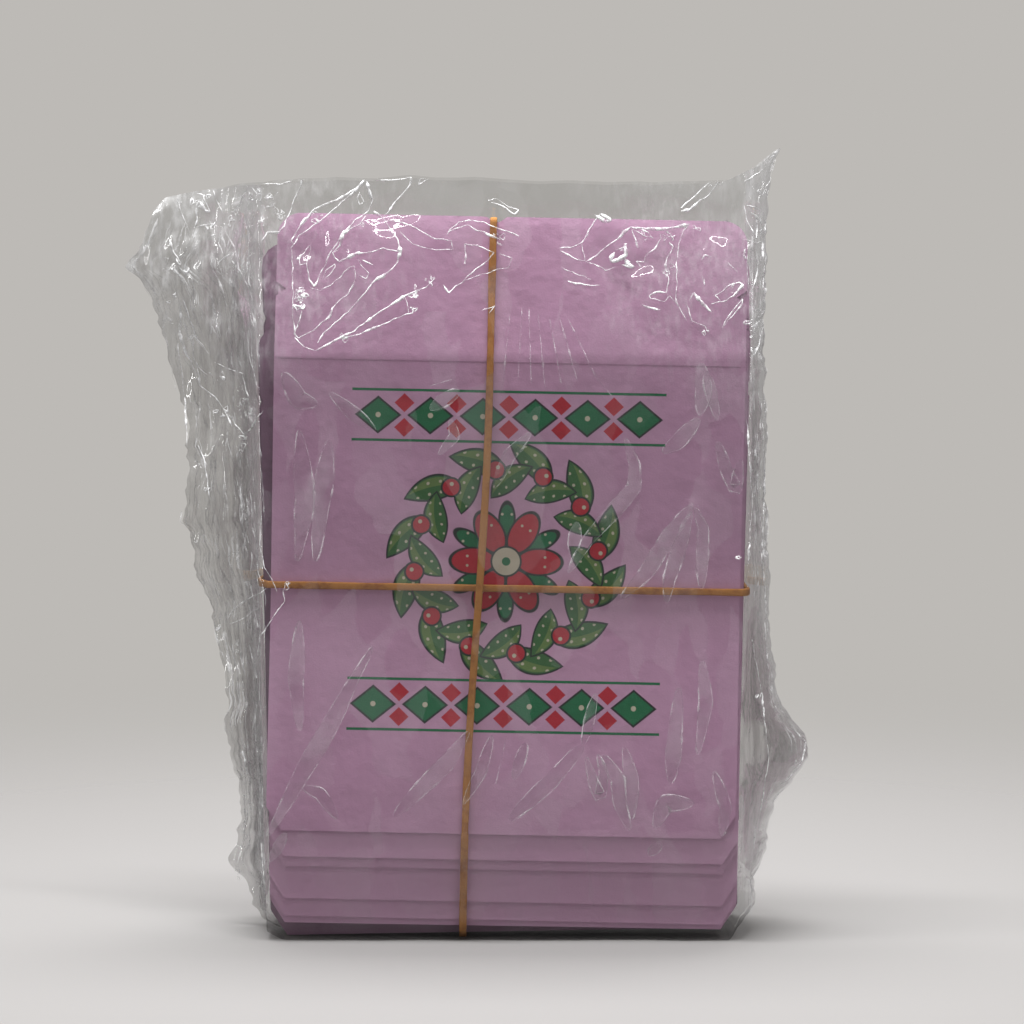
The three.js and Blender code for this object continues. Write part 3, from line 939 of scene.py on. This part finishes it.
folds = (  # half the width of a fold in millimetres, and its line
    (1.5, ((700, 363), (703, 390), (699, 415))), (1.3, ((705, 372), (712, 399), (717, 420))),
    (1.4, ((699, 418), (678, 441), (662, 452))), (1.3, ((717, 441), (726, 471), (735, 489), (740, 459))),
    (1.8, ((692, 503), (669, 535), (646, 572), (621, 597))),
    (1.5, ((691, 510), (680, 544), (669, 578), (666, 601))),
    (1.4, ((694, 507), (703, 528), (702, 555), (701, 588))),
    (1.7, ((625, 438), (634, 464), (634, 487), (614, 510), (588, 539), (568, 572))),
    (1.2, ((577, 521), (572, 555))), (0.9, ((510, 314), (503, 383))), (0.9, ((522, 308), (518, 381))),
    (0.8, ((529, 310), (531, 383))), (0.9, ((538, 314), (545, 388))), (0.8, ((549, 317), (561, 383))),
    (0.9, ((559, 317), (577, 381))), (1.0, ((568, 319), (595, 376), (614, 399))),
    (1.0, ((430, 386), (453, 379))), (1.2, ((430, 409), (460, 390))),
    (1.2, ((451, 418), (455, 436), (439, 454))), (1.3, ((531, 432), (510, 454), (494, 487))),
    (1.6, ((373, 646), (353, 681), (332, 722), (302, 773), (279, 816), (267, 836))),
    (1.2, ((286, 832), (269, 862))), (1.3, ((302, 787), (320, 793), (337, 818))),
    (1.6, ((469, 730), (447, 762), (414, 795), (394, 816))), (1.2, ((492, 734), (481, 771), (463, 803))),
    (1.0, ((506, 738), (496, 783))), (1.1, ((526, 742), (514, 779))),
    (1.9, ((583, 744), (551, 781), (520, 809), (510, 820))),
    (1.1, ((586, 756), (594, 783), (600, 797), (604, 773), (598, 754))),
    (1.5, ((602, 754), (618, 779), (620, 803), (630, 830))), (1.3, ((624, 746), (632, 779), (632, 820))),
    (1.6, ((679, 687), (675, 736), (671, 783))), (1.4, ((702, 660), (706, 701), (698, 754))),
    (1.3, ((714, 771), (726, 807), (722, 836))), (1.1, ((596, 693), (592, 707), (588, 726), (583, 744))),
    (1.6, ((655, 828), (665, 803), (694, 803))), (1.3, ((649, 856), (661, 842))),
    (1.7, ((284, 372), (300, 400), (318, 404))), (1.3, ((330, 392), (352, 412), (376, 430))),
    (1.6, ((300, 620), (296, 680), (300, 730))), (2.0, ((330, 440), (322, 500), (316, 560))),
    (1.8, ((300, 430), (306, 500), (298, 560))),
)

wallSeed = {-1: 101, 1: 201}  # for the front wall, which faces -Y, and for the back wall

bagLook = dict(  # lengths in millimetres
    leftSeam=(  # height and x up the left seam
        (0, -49.5), (2, -53.5), (7, -55.2), (13.7, -60), (26, -57.9), (39, -59.4), (58, -61.9), (69, -64),
        (79, -67.2), (87.4, -68.6), (106.3, -68.4), (119, -70.9), (129.5, -74.1), (136, -75.2),
        (142.5, -80.6), (147.4, -78.3), (154.3, -75.6),
    ),
    rightSeam=(
        (0, 48.5), (2, 50.3), (6, 53.5), (12, 53.4), (17, 56), (28, 57.4), (31.6, 61.7), (37, 65.1),
        (42.1, 64.2), (46.3, 60.6), (51.6, 58.1), (62, 56.8), (93.7, 55.8), (125.3, 54.9), (137.9, 55.2),
        (161, 56), (167.8, 57.9),
    ),
    mouthEdge=(  # x and height along the mouth's edge
        (-75.6, 154.3), (-73, 157.5), (-63.6, 159), (-42.9, 161.5), (-20, 161.5), (-1.5, 161),
        (39.6, 160.4), (46.9, 161.1), (53, 163.5), (57.9, 167.8),
    ),
    leftJags=((0.9, 5, 131), (0.5, 1.7, 132)),  # layers of facets on the seams and on the mouth's edge
    rightJags=((0.5, 4, 133), (0.35, 1.5, 134)),
    mouthJags=((0.5, 7, 135),),
    halfDepth=15.0,  # half the stack
    lowest=0.06,  # the height of the bag's floor
    top=162.0,  # rows are counted up to here, and then drawn to the mouth's edge
    mouthStart=148.0,
    sideLeft=(-51.0, -52.8),  # where the film leaves the stack, at its foot and at its top
    sideRight=(50.2, 51.6),
    leastWing=2.2,
    leftFall=4.0,
    rightFall=0.6,
    seamDepth=0.25,
    slack=0.75,  # how far the film lies off the stack
    puff=(0.35, 1.5),  # and how much farther, low down and above the zips
    puffStart=(118, 140),
    foldRise=0.27,  # a soft fold's height for its half width
    foldReach=0.8,
    foldPower=0.6,
    mouthDepth=11.3,
    mouthPower=1.5,
    bandTop=(161, 147),  # the film leaves the upright band between these heights
    bandHalf=0.7,
    bandReach=(5.5, 6.5),  # how wide the film tents over the upright and the level band
    levelDepth=0.76,
    air=0.3,  # what the film keeps off the stack and the bands
    mouthAir=0.65,  # and off the bare stack at the mouth
    sway=(3.0, 52, 1.6),  # of the left wing: a wave's height and length, and noise on it
    rightSway=0.8,
    wingCreases=((1.3, 7, 174, 3.5, 0.1), (0.6, 3.2, 175, 1.6, -0.3)),
    wingCreasing=(3, 2, 0.4),  # how fast they grow in the left and the right wing, and the right one's share
    shareLeft=0.22,  # shares of the columns in the wings
    shareRight=0.10,
    floorRows=0.05,
    mapSpan=170,  # the side of the square that holds the whole wall
)

crumpleLook = dict(  # lengths in millimetres
    bend=(2.2, 0.8),  # how far the facets' coordinates are bent, in large and in little waves
    top=(112, 138),  # the film is loose above these heights, and has slanting folds below the next
    low=(62, 18),
    leftWing=(-49, -55),  # where wings and loose corners begin, in x
    rightWing=(48, 53),
    leftCorner=(-6, -40),
    rightCorner=(8, 34),
    big=((0.8, 15, 10, 1.3, 0.6), (0.45, 7.5, 11, 1.2, -0.4)),  # layers of facets
    small=((0.30, 3.6, 12, 1.2, 0.3), (0.14, 1.9, 13)),
    streak=((0.07, 2.4, 14, 14, 0.05), (0.3, 12, 15, 3.5, 0.2)),
    slant=((0.5, 11, 16, 3.2, -0.55), (0.14, 4.5, 17, 2.5, -0.5)),
    creased=((1.3, 9, 18, 3.2, 0.08), (0.65, 4, 19, 2.4), (0.4, 1.7, 20, 6, 0.04)),
    cornerMilk=0.45,
    wingMilk=(0.15, 0.85),  # everywhere, and at the top
    rightMilk=0.55,
    milkFoot=12,
)


def onBag(line):
    # x and height in millimetres of points on the photograph
    look = cameraLook
    right, down = np.array(line, dtype=float).T
    scale = look["pixelsPerMetre"] * mm
    x = (right - look["pixels"] / 2) / scale + look["middleX"] / mm
    z = (look["pixels"] / 2 - down) / scale + look["middleZ"] / mm
    return np.stack([x, z], -1)


def outlineAt(pairs, at):
    # straight lines between the pairs, read off where their first number is at
    listed = np.array(pairs, dtype=float)
    return np.interp(at, listed[:, 0], listed[:, 1])


def evened(field, rounds):
    # each point takes the mean of its four neighbours and twice itself, rounds times
    for _ in range(rounds):
        wide = np.pad(field, 1, mode="edge")
        rows = wide[:-2, 1:-1] + wide[2:, 1:-1]
        columns = wide[1:-1, :-2] + wide[1:-1, 2:]
        field = (wide[1:-1, 1:-1] * 2 + rows + columns) / 6
    return field


def seamsAt(z, look):
    # x of the left and the right seam at a height, with small jags
    left = outlineAt(look["leftSeam"], z) + layered(look["leftJags"], z, z * 0)
    right = outlineAt(look["rightSeam"], z) + layered(look["rightJags"], z, z * 0)
    return left, right


def mouthAt(x, look):
    return outlineAt(look["mouthEdge"], x) + layered(look["mouthJags"], x, x * 0)


def crumples(x, z, look, seed):
    # flat facets of several sizes on bent coordinates: loose at the top, deep in the wings, fine upright
    # streaks over the print, slanting folds low down. Returns millimetres outward, and how crushed it is
    large, little = look["bend"]
    bentX = x + large * ripple(x, z, 15, seed + 1) + little * ripple(x, z, 5, seed + 2)
    bentZ = z + large * ripple(x, z, 13, seed + 3) + little * ripple(x, z, 5, seed + 4)
    big, small, streak, slant, creased = (
        layered(look[key], bentX, bentZ, seed) for key in ("big", "small", "streak", "slant", "creased")
    )
    top = smoothStep(*look["top"], z + 7 * ripple(x, z, 22, seed + 5))
    low = smoothStep(*look["low"], z)
    wing = np.maximum(smoothStep(*look["leftWing"], x), smoothStep(*look["rightWing"], x))
    corner = top * np.maximum(smoothStep(*look["leftCorner"], x), smoothStep(*look["rightCorner"], x))
    calm = (1 - top) * (1 - wing)
    height = top * (1 - wing) * (big + corner * small) + calm * (streak + low * slant)
    height = height + wing * (creased + small * (0.6 + top))
    least, more = look["wingMilk"]
    milk = corner * look["cornerMilk"] + wing * (least + more * top) * np.where(x > 0, look["rightMilk"], 1)
    return height, np.clip(milk, 0, 1) * np.maximum(0.5 * wing, smoothStep(0, look["milkFoot"], z))


def foldHeights(x, z, look):
    # soft folds along the listed lines: each falls off as e to the minus (distance / reach) to a power
    total = 0
    for width, line in folds:
        near = 1e9
        placed = onBag(line)
        for start, run in zip(placed[:-1], np.diff(placed, axis=0)):
            toX = x - start[0]
            toZ = z - start[1]
            share = np.clip((toX * run[0] + toZ * run[1]) / (run @ run), 0, 1)
            near = np.minimum(near, (toX - share * run[0]) ** 2 + (toZ - share * run[1]) ** 2)
        reach = look["foldReach"] * width
        total = total + look["foldRise"] * width * np.exp(-((near / reach**2) ** look["foldPower"]))
    return total


def coreAt(z, look):
    # where the film leaves the stack left and right, and the seams beyond
    left, right = seamsAt(z, look)
    up = np.clip(z / look["mouthStart"], 0, 1)
    coreLeft, coreRight = (
        low + (high - low) * up for low, high in (look["sideLeft"], look["sideRight"])
    )
    least = look["leastWing"]
    return left, np.maximum(coreLeft, left + least), np.minimum(coreRight, right - least), right


stackOutline = tightOutline(uprightPoints) / mm


def stackOut(z, side):
    # how far out the tight outline round the stack lies at a height
    z = np.clip(z, stackOutline[:, 1].min() + 0.05, stackOutline[:, 1].max() - 0.05)
    out = np.zeros_like(z)
    for (fromY, fromZ), (toY, toZ) in zip(stackOutline, np.roll(stackOutline, -1, axis=0)):
        if toZ != fromZ:
            share = (z - fromZ) / (toZ - fromZ)
            reached = np.maximum(out, side * (fromY + share * (toY - fromY)))
            out = np.where((share >= 0) & (share <= 1), reached, out)
    return out


def filmDepth(x, z, side, look):
    # y of one wall at a place. Over the stack it lies on it, tents over the bands and leans in at the mouth.
    # In the wings it falls away to the seam, and both walls sway and are creased together
    left, coreLeft, coreRight, right = coreAt(z, look)
    inLeft = np.clip((coreLeft - x) / (coreLeft - left), 0, 1)
    inRight = np.clip((x - coreRight) / (right - coreRight), 0, 1)
    over = np.clip((z - look["mouthStart"]) / (mouthAt(x, look) - look["mouthStart"]), 0, 1)
    bare = slimmed(look["halfDepth"], z * mm)
    out = stackOut(z, side)
    depth = np.maximum(bare + look["slack"], out + look["air"])
    # tents over the bands: bells of the distance to each band's edge
    lift = np.maximum(out + (bandLook["gap"] + bandLook["thickness"]) / mm + look["air"] - depth, 0)
    lift = lift * smoothStep(*look["bandTop"], z)
    fromUpright = np.abs(x - uprightCourse(z * mm, bandLook) / mm)
    fromLevel = np.abs(z - bandLook["levelZ"] / mm + bandLook["fall"] * x)
    upright, level = (
        np.exp(-((np.maximum(distance - look["bandHalf"], 0) / reach) ** 2))
        for distance, reach in zip((fromUpright, fromLevel), look["bandReach"])
    )
    depth = depth + np.maximum(lift * upright, look["levelDepth"] * level)
    # crumples and folds stand outward only
    height, crushed = crumples(x, z, crumpleLook, wallSeed[side])
    height = height + foldHeights(x if side < 0 else -x, z, look)
    puff = look["puff"][1] * smoothStep(*look["puffStart"], z) + look["puff"][0]
    depth = depth + np.maximum(puff + height, 0.05)
    depth = depth + (look["mouthDepth"] + height - depth) * over ** look["mouthPower"]
    depth = np.maximum(depth, bare + look["mouthAir"])
    # the wings
    fallen = (1 - inLeft) ** look["leftFall"] * (1 - inRight) ** look["rightFall"]
    depth = look["seamDepth"] + (depth - look["seamDepth"]) * fallen
    wave, length, noise = look["sway"]
    sway = inLeft * (wave * np.sin(2 * math.pi * z / length) + noise * ripple(x, z, 14, 171, 2))
    sway = sway + inRight * look["rightSway"] * ripple(x, z, 12, 172, 2)
    leftGrowth, rightGrowth, rightShare = look["wingCreasing"]
    crease = layered(look["wingCreases"], x + 1.5 * ripple(x, z, 9, 173), z)
    inWing = np.maximum(np.minimum(inLeft * leftGrowth, 1), np.minimum(inRight * rightGrowth, 1) * rightShare)
    return side * depth + sway + crease * inWing, crushed


def makeBagSheet(name, side, look, rows, columns):
    # side -1 is the front wall and 1 the back wall: each runs from the floor's middle fold up to the mouth
    share = np.linspace(0, 1, columns)[None, :]
    climb = np.linspace(0, 1, rows)[:, None]
    wall = np.clip((climb - look["floorRows"]) / (1 - look["floorRows"]), 0, 1)
    onFloor = np.clip(1 - climb / look["floorRows"], 0, 1)
    height = wall * look["top"]
    over = np.clip((height - look["mouthStart"]) / (look["top"] - look["mouthStart"]), 0, 1)
    height = np.minimum(height, look["mouthStart"])
    ends = [height + over * (look["mouthEdge"][end][1] - height) for end in (0, -1)]
    left, coreLeft = coreAt(ends[0], look)[:2]
    coreRight, right = coreAt(ends[1], look)[2:]
    inLeft = np.clip(1 - share / look["shareLeft"], 0, 1)
    inRight = np.clip(1 - (1 - share) / look["shareRight"], 0, 1)
    inCore = np.clip((share - look["shareLeft"]) / (1 - look["shareLeft"] - look["shareRight"]), 0, 1)
    x = coreLeft + (coreRight - coreLeft) * inCore
    x = x + (left - coreLeft) * inLeft + (right - coreRight) * inRight
    z = height + over * (mouthAt(x, look) - height)
    y, crushed = filmDepth(x, z, side, look)
    y = evened(y, 2) * (1 - onFloor)
    z = np.maximum(z, look["lowest"])
    points = np.stack(np.broadcast_arrays(x, y, z), -1) * mm
    faces = gridFaces(rows, columns)
    if side > 0:
        faces = faces[:, ::-1]
    uvs = np.stack(np.broadcast_arrays(x / look["mapSpan"] + 0.5, z / look["mapSpan"]), -1)
    film = addPiece(name, points.reshape(-1, 3), faces, uvs.reshape(-1, 2))
    # the film lies double next to the stack, less so out at the seams, and not at the mouth; the darker tint
    # there is partly painted shade from the stack
    outward = inLeft + inRight
    foldedAndShaded = smoothStep(0, 0.04, outward) * (1 - 0.6 * smoothStep(0.45, 0.9, outward))
    foldedAndShaded = foldedAndShaded * smoothStep(156, 138, z)
    for attribute, values in (("crushed", crushed), ("foldedAndShaded", foldedAndShaded)):
        layer = film.data.attributes.new(attribute, "FLOAT", "POINT")
        layer.data.foreach_set("value", np.broadcast_to(values, x.shape).astype(np.float32).ravel())
    return film


creaseLook = dict(  # lengths in millimetres
    step=0.25,
    jitter=0.13,
    bold=0.46,  # widths of the sharp creases
    fine=0.30,
    speck=0.28,
    fold=0.26,  # the faint edges of the soft folds
    leastBand=1.05,  # a narrower fold is one fine line
    streak=0.3,
    speckReach=(0.3, 1.0),
    sharpRise=0.9,  # heights of ridges, as shares of half their widths
    edgeRise=0.7,
    bandRise=0.06,
    ridgeAir=0.03,
    ridgeSpan=(0.3, 0.4),  # ridges keep this far above the floor and below the mouth's edge
    wrinkles=(95, 40),  # upright wrinkles in the left and the right wing
    wrinkleStart=(2, 142),
    wrinkleLength=(6, 42),
    wrinkleShare=(0.03, 1.05),  # their places, from the seam to the stack
    top=153,
    backScale=(-0.95, 0.96),  # the front's creases, mirrored for the back
    backShift=(0, 3),
    backHalf=49,
)


def evenLine(line, step, jitter, seed):
    # even steps along a line, bent by small ripples; also the lengths so far
    length = np.concatenate([[0], np.cumsum(np.hypot(*np.diff(line, axis=0).T))])
    at = np.linspace(0, length[-1], max(7, int(length[-1] / step)))
    even = np.stack([np.interp(at, length, line[:, k]) for k in (0, 1)], -1)
    even = even + jitter * np.stack([wobble(at, 1.3, seed), wobble(at, 1.3, seed + 1)], -1)
    return even, at


def newSeed(rng):
    return rng.integers(1 << 16)


def across(line):
    # unit vectors square to a line
    along = np.gradient(line, axis=0)
    return np.stack([-along[:, 1], along[:, 0]], -1) / (np.hypot(*along.T)[:, None] + 1e-6)


def ridge(line, half, rise, side, look, sides=3):
    # a low half-round ridge along a line on one wall of the film
    angle = np.linspace(0, math.pi, sides)[None, :]
    flat = line[:, None, :] + (across(line) * half[:, None])[:, None, :] * np.cos(angle)[..., None]
    y = filmDepth(line[:, 0], line[:, 1], side, bagLook)[0][:, None]
    y = y + side * (look["ridgeAir"] + rise * half[:, None] * np.sin(angle))
    x = flat[..., 0]
    z = np.clip(flat[..., 1], look["ridgeSpan"][0], mouthAt(x, bagLook) - look["ridgeSpan"][1])
    return np.stack([x, y, z], -1)


def creaseWidth(at, width, seed):
    # half the width of a sharp crease: it swells and thins in places, and runs out at both ends
    swell = 0.5 + 1.3 * np.maximum(wobble(at, 3.4, seed), 0) * (1 + 0.7 * wobble(at, 0.7, seed + 1))
    return swell * (0.35 + 0.65 * smoothStep(0, 1.2, np.minimum(at, at[-1] - at))) * width / 2


def foldWidth(at, width, seed):
    # half the width of a soft fold: a long lens with wavy edges
    share = at / at[-1]
    return width * (0.12 + 0.88 * np.sin(math.pi * share) ** 0.6) * (1 + 0.2 * wobble(at, 8, seed))


def sparkleLines(rng, look):
    # small angular closed outlines scattered round each place
    lines = []
    for x, z, reach, count in sparkles:
        place = onBag([(x, z)])[0]
        for _ in range(count):
            angle = np.sort(rng.uniform(0, 2 * math.pi, rng.integers(4, 7)))
            size = rng.uniform(*look["speckReach"]) * rng.uniform(0.4, 1.2, len(angle))
            narrow = rng.uniform(0.3, 1.0)
            turn = rng.uniform(0, math.pi)
            a = size * np.cos(angle)
            b = size * np.sin(angle) * narrow
            away = reach / (cameraLook["pixelsPerMetre"] * mm) * math.sqrt(rng.uniform())
            course = rng.uniform(0, 2 * math.pi)
            outline = np.stack([
                place[0] + away * math.cos(course) + a * math.cos(turn) - b * math.sin(turn),
                place[1] + away * math.sin(course) + a * math.sin(turn) + b * math.cos(turn),
            ], -1)
            lines.append(np.concatenate([outline, outline[:1]]))
    return lines


def wingLines(rng, look):
    # long upright wrinkles: each keeps about its share of the way from the seam to the stack
    lines = []
    for isLeft, count in zip((True, False), look["wrinkles"]):
        for _ in range(count):
            start = rng.uniform(*look["wrinkleStart"])
            z = np.linspace(start, min(start + rng.uniform(*look["wrinkleLength"]), look["top"]), 26)
            left, coreLeft, coreRight, right = coreAt(z, bagLook)
            seam, core = (left, coreLeft) if isLeft else (right, coreRight)
            share = rng.uniform(*look["wrinkleShare"]) + 0.09 * wobble(z, 9, newSeed(rng))
            lines.append(np.stack([seam + share * (core - seam), z], -1))
    return lines


def onBack(lines, look):
    # the back wall has the same kind of creases, mirrored, where they stay behind the stack
    turned = [line * look["backScale"] + look["backShift"] for line in lines]
    return [
        line for line in turned
        if abs(line[:, 0]).max() < look["backHalf"] and line[:, 1].max() < look["top"]
    ]


def makeRidges(name, shapes, side):
    # all the ridges of one wall in one mesh
    points = []
    faces = []
    first = 0
    for shape in shapes:
        quads = gridFaces(*shape.shape[:2]) + first
        faces.append(quads[:, ::-side])
        points.append(shape.reshape(-1, 3))
        first += shape.shape[0] * shape.shape[1]
    return addPiece(name, np.concatenate(points) * mm, np.concatenate(faces))


def creaseShapes(side, look):
    # sharp creases, then the edges of soft folds with the wings' wrinkles, then the soft folds themselves:
    # ridges that carry white finishes, partly painted highlights
    rng = np.random.default_rng(wallSeed[side])
    bold = [onBag(line) for line in boldCreases]
    fine = [onBag(line) for line in fineCreases]
    specks = sparkleLines(rng, look)
    soft = [onBag(line) for width, line in folds]
    if side > 0:
        bold, fine, specks, soft = (onBack(lines, look) for lines in (bold, fine, specks, soft))
    sharp = []
    edges = []
    bands = []
    for lines, width in ((bold, look["bold"]), (fine, look["fine"]), (specks, look["speck"])):
        for line in lines:
            even, at = evenLine(line, look["step"], look["jitter"], newSeed(rng))
            half = creaseWidth(at, width, newSeed(rng))
            sharp.append(ridge(even, half, look["sharpRise"], side, look, 5))
    for line, (width, _) in zip(soft, folds):
        even, at = evenLine(line, look["step"] * 2, look["jitter"] * 0.3, newSeed(rng))
        half = foldWidth(at, width, newSeed(rng))
        isBand = width > look["leastBand"]
        if isBand:
            bands.append(ridge(even, half, look["bandRise"], side, look))
        for way in (-1, 1) if isBand else (0,):
            edge = even + way * across(even) * half[:, None]
            edgeHalf = creaseWidth(at, look["fold"], newSeed(rng))
            edges.append(ridge(edge, edgeHalf, look["edgeRise"], side, look))
    for line in wingLines(rng, look):
        even, at = evenLine(line, look["step"] * 2, look["jitter"], newSeed(rng))
        half = creaseWidth(at, look["streak"], newSeed(rng))
        edges.append(ridge(even, half, look["edgeRise"], side, look))
    return sharp, edges, bands


filmLook = dict(
    single=(0.87, 0.87, 0.865),  # what one wall lets through, then where it is pleated beside the stack, partly painted shade, then seen edge on
    pleatedAndShaded=(0.66, 0.65, 0.65),
    edgeOn=(0.50, 0.49, 0.50),
    milk=(0.8, 0.8, 0.81),
    pleats=(0.2, 0.8),  # a fold's share of the pleated tint with its painted shade, and how much of it its pleats add
    roughness=0.05,
    mirror=(1.2, 0.8),  # times the Fresnel share, and where crushed
    mostMirror=0.45,
    foot=(0.001, 0.007),  # mirror and haze fade toward the floor
    footMirror=(0.1, 0.9),
    haze=(0.006, 0.04),  # everywhere, and in patches
    crushedHaze=(0.05, 0.2),
)

creaseHighlightFinishes = dict(  # white finishes, partly painted highlights: the least and the most of it that is solid, and how fine its patches are
    creaseHighlightFilm=(0.3, 1.0, 650),
    foldEdgeHighlightFilm=(0.03, 0.34, 300),
    foldSheenFilm=(0.01, 0.08, 90),
)


def filmMaterial(look):
    # clear film: mostly see-through, mirrored by its angle, a little milky where it is crushed, and darker
    # where it lies folded beside the stack, a tint that is partly doubled film and partly painted shade
    sheet = Sheet("clearFilm")
    place = sheet.place()

    def mixed(factor, first, second):
        return sheet.node("ShaderNodeMixShader", None, [factor, first, second])

    crushed, foldedAndShaded = (
        sheet.node("ShaderNodeAttribute", {"attribute_name": name}, output="Fac")
        for name in ("crushed", "foldedAndShaded")
    )
    pleats = sheet.noise(sheet.stretched(place, (1, 1, 0.05)), 620, 4, 0.7).step(0.38, 0.62)
    shift = sheet.node("ShaderNodeTexNoise", None, {"Vector": place, "Scale": 90.0}, output="Color")
    bend = sheet.node("ShaderNodeVectorMath", {"operation": "MULTIPLY_ADD"}, [shift, (0.008,) * 3, place])
    patch = sheet.node("ShaderNodeTexVoronoi", None, {
        "Vector": sheet.stretched(bend, (1, 0.3, 0.4), (0, 0.5, 0)), "Scale": 170.0,
    }, output="Color")
    fine = sheet.noise(sheet.stretched(place, (1, 1, 0.3)), 900, 3, 0.6)
    bent = sheet.bump(fine, 0.06, 0.0003)
    foot = sheet.part(place, "Z").step(*look["foot"])
    fresnel = sheet.node("ShaderNodeFresnel", None, {"IOR": 1.5, "Normal": bent})
    steep = sheet.node("ShaderNodeLayerWeight", None, {"Blend": 0.5}, output="Facing")
    flat, doubledAndShaded, edge = (
        sheet.node("ShaderNodeBsdfTransparent", None, {"Color": look[key]})
        for key in ("single", "pleatedAndShaded", "edgeOn")
    )
    gloss = sheet.node("ShaderNodeBsdfGlossy", None, {
        "Color": (1.0, 1.0, 1.0),
        "Roughness": look["roughness"],
        "Normal": bent,
    })
    milky = sheet.node("ShaderNodeBsdfDiffuse", None, {"Color": look["milk"], "Normal": bent})
    clear = mixed(foldedAndShaded * (look["pleats"][0] + look["pleats"][1] * pleats), flat, doubledAndShaded)
    clear = mixed(steep**3, clear, edge)
    mirror = (fresnel * (look["mirror"][0] + look["mirror"][1] * crushed)).math("MINIMUM", look["mostMirror"])
    shone = mixed(mirror * (look["footMirror"][0] + look["footMirror"][1] * foot), clear, gloss)
    haze = look["haze"][0] + look["haze"][1] * patch.step(0.35, 0.8) * foot
    dull = look["crushedHaze"][0] + look["crushedHaze"][1] * fine.step(0.42, 0.7)
    return sheet.finish(mixed(haze + crushed * dull, shone, milky))


def creaseHighlightMaterial(name, least, most, scale):
    # film folded hard on itself, whitened in part and a painted highlight in part: white and shiny, between
    # least and most of it solid, in patches
    sheet = Sheet(name)
    place = sheet.place()
    broken = sheet.noise(place, scale, 3, 0.6).step(0.38, 0.62)
    clear = sheet.node("ShaderNodeBsdfTransparent", None, {"Color": (0.92, 0.92, 0.92)})
    white = sheet.node("ShaderNodeBsdfPrincipled", None, {
        "Base Color": sheet.mix(broken, (0.70, 0.70, 0.71), (0.92, 0.92, 0.93)),
        "Roughness": 0.12,
        "Specular IOR Level": 1.0,
    })
    solid = least + (most - least) * broken
    return sheet.finish(sheet.node("ShaderNodeMixShader", None, [solid, clear, white]))


film = filmMaterial(filmLook)
finishes = [creaseHighlightMaterial(name, *creaseHighlightFinishes[name]) for name in creaseHighlightFinishes]
# the ridges wear white finishes that are partly whitened film and partly painted highlights and sheen
for name, side, rows, columns in (("Front", -1, 330, 292), ("Back", 1, 220, 190)):
    wall = makeBagSheet(f"bag{name}Film", side, bagLook, rows, columns)
    pieces = [wall] + [
        makeRidges(f"bag{name}{kind}", shapes, side)
        for kind, shapes in zip(("Creases", "FoldEdges", "Folds"), creaseShapes(side, creaseLook))
    ]
    for piece, finish in zip(pieces, [film, *finishes]):
        piece.data.materials.append(finish)
        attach(piece, "root")
        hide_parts("clear_bag")
print("the clear bag is round it")
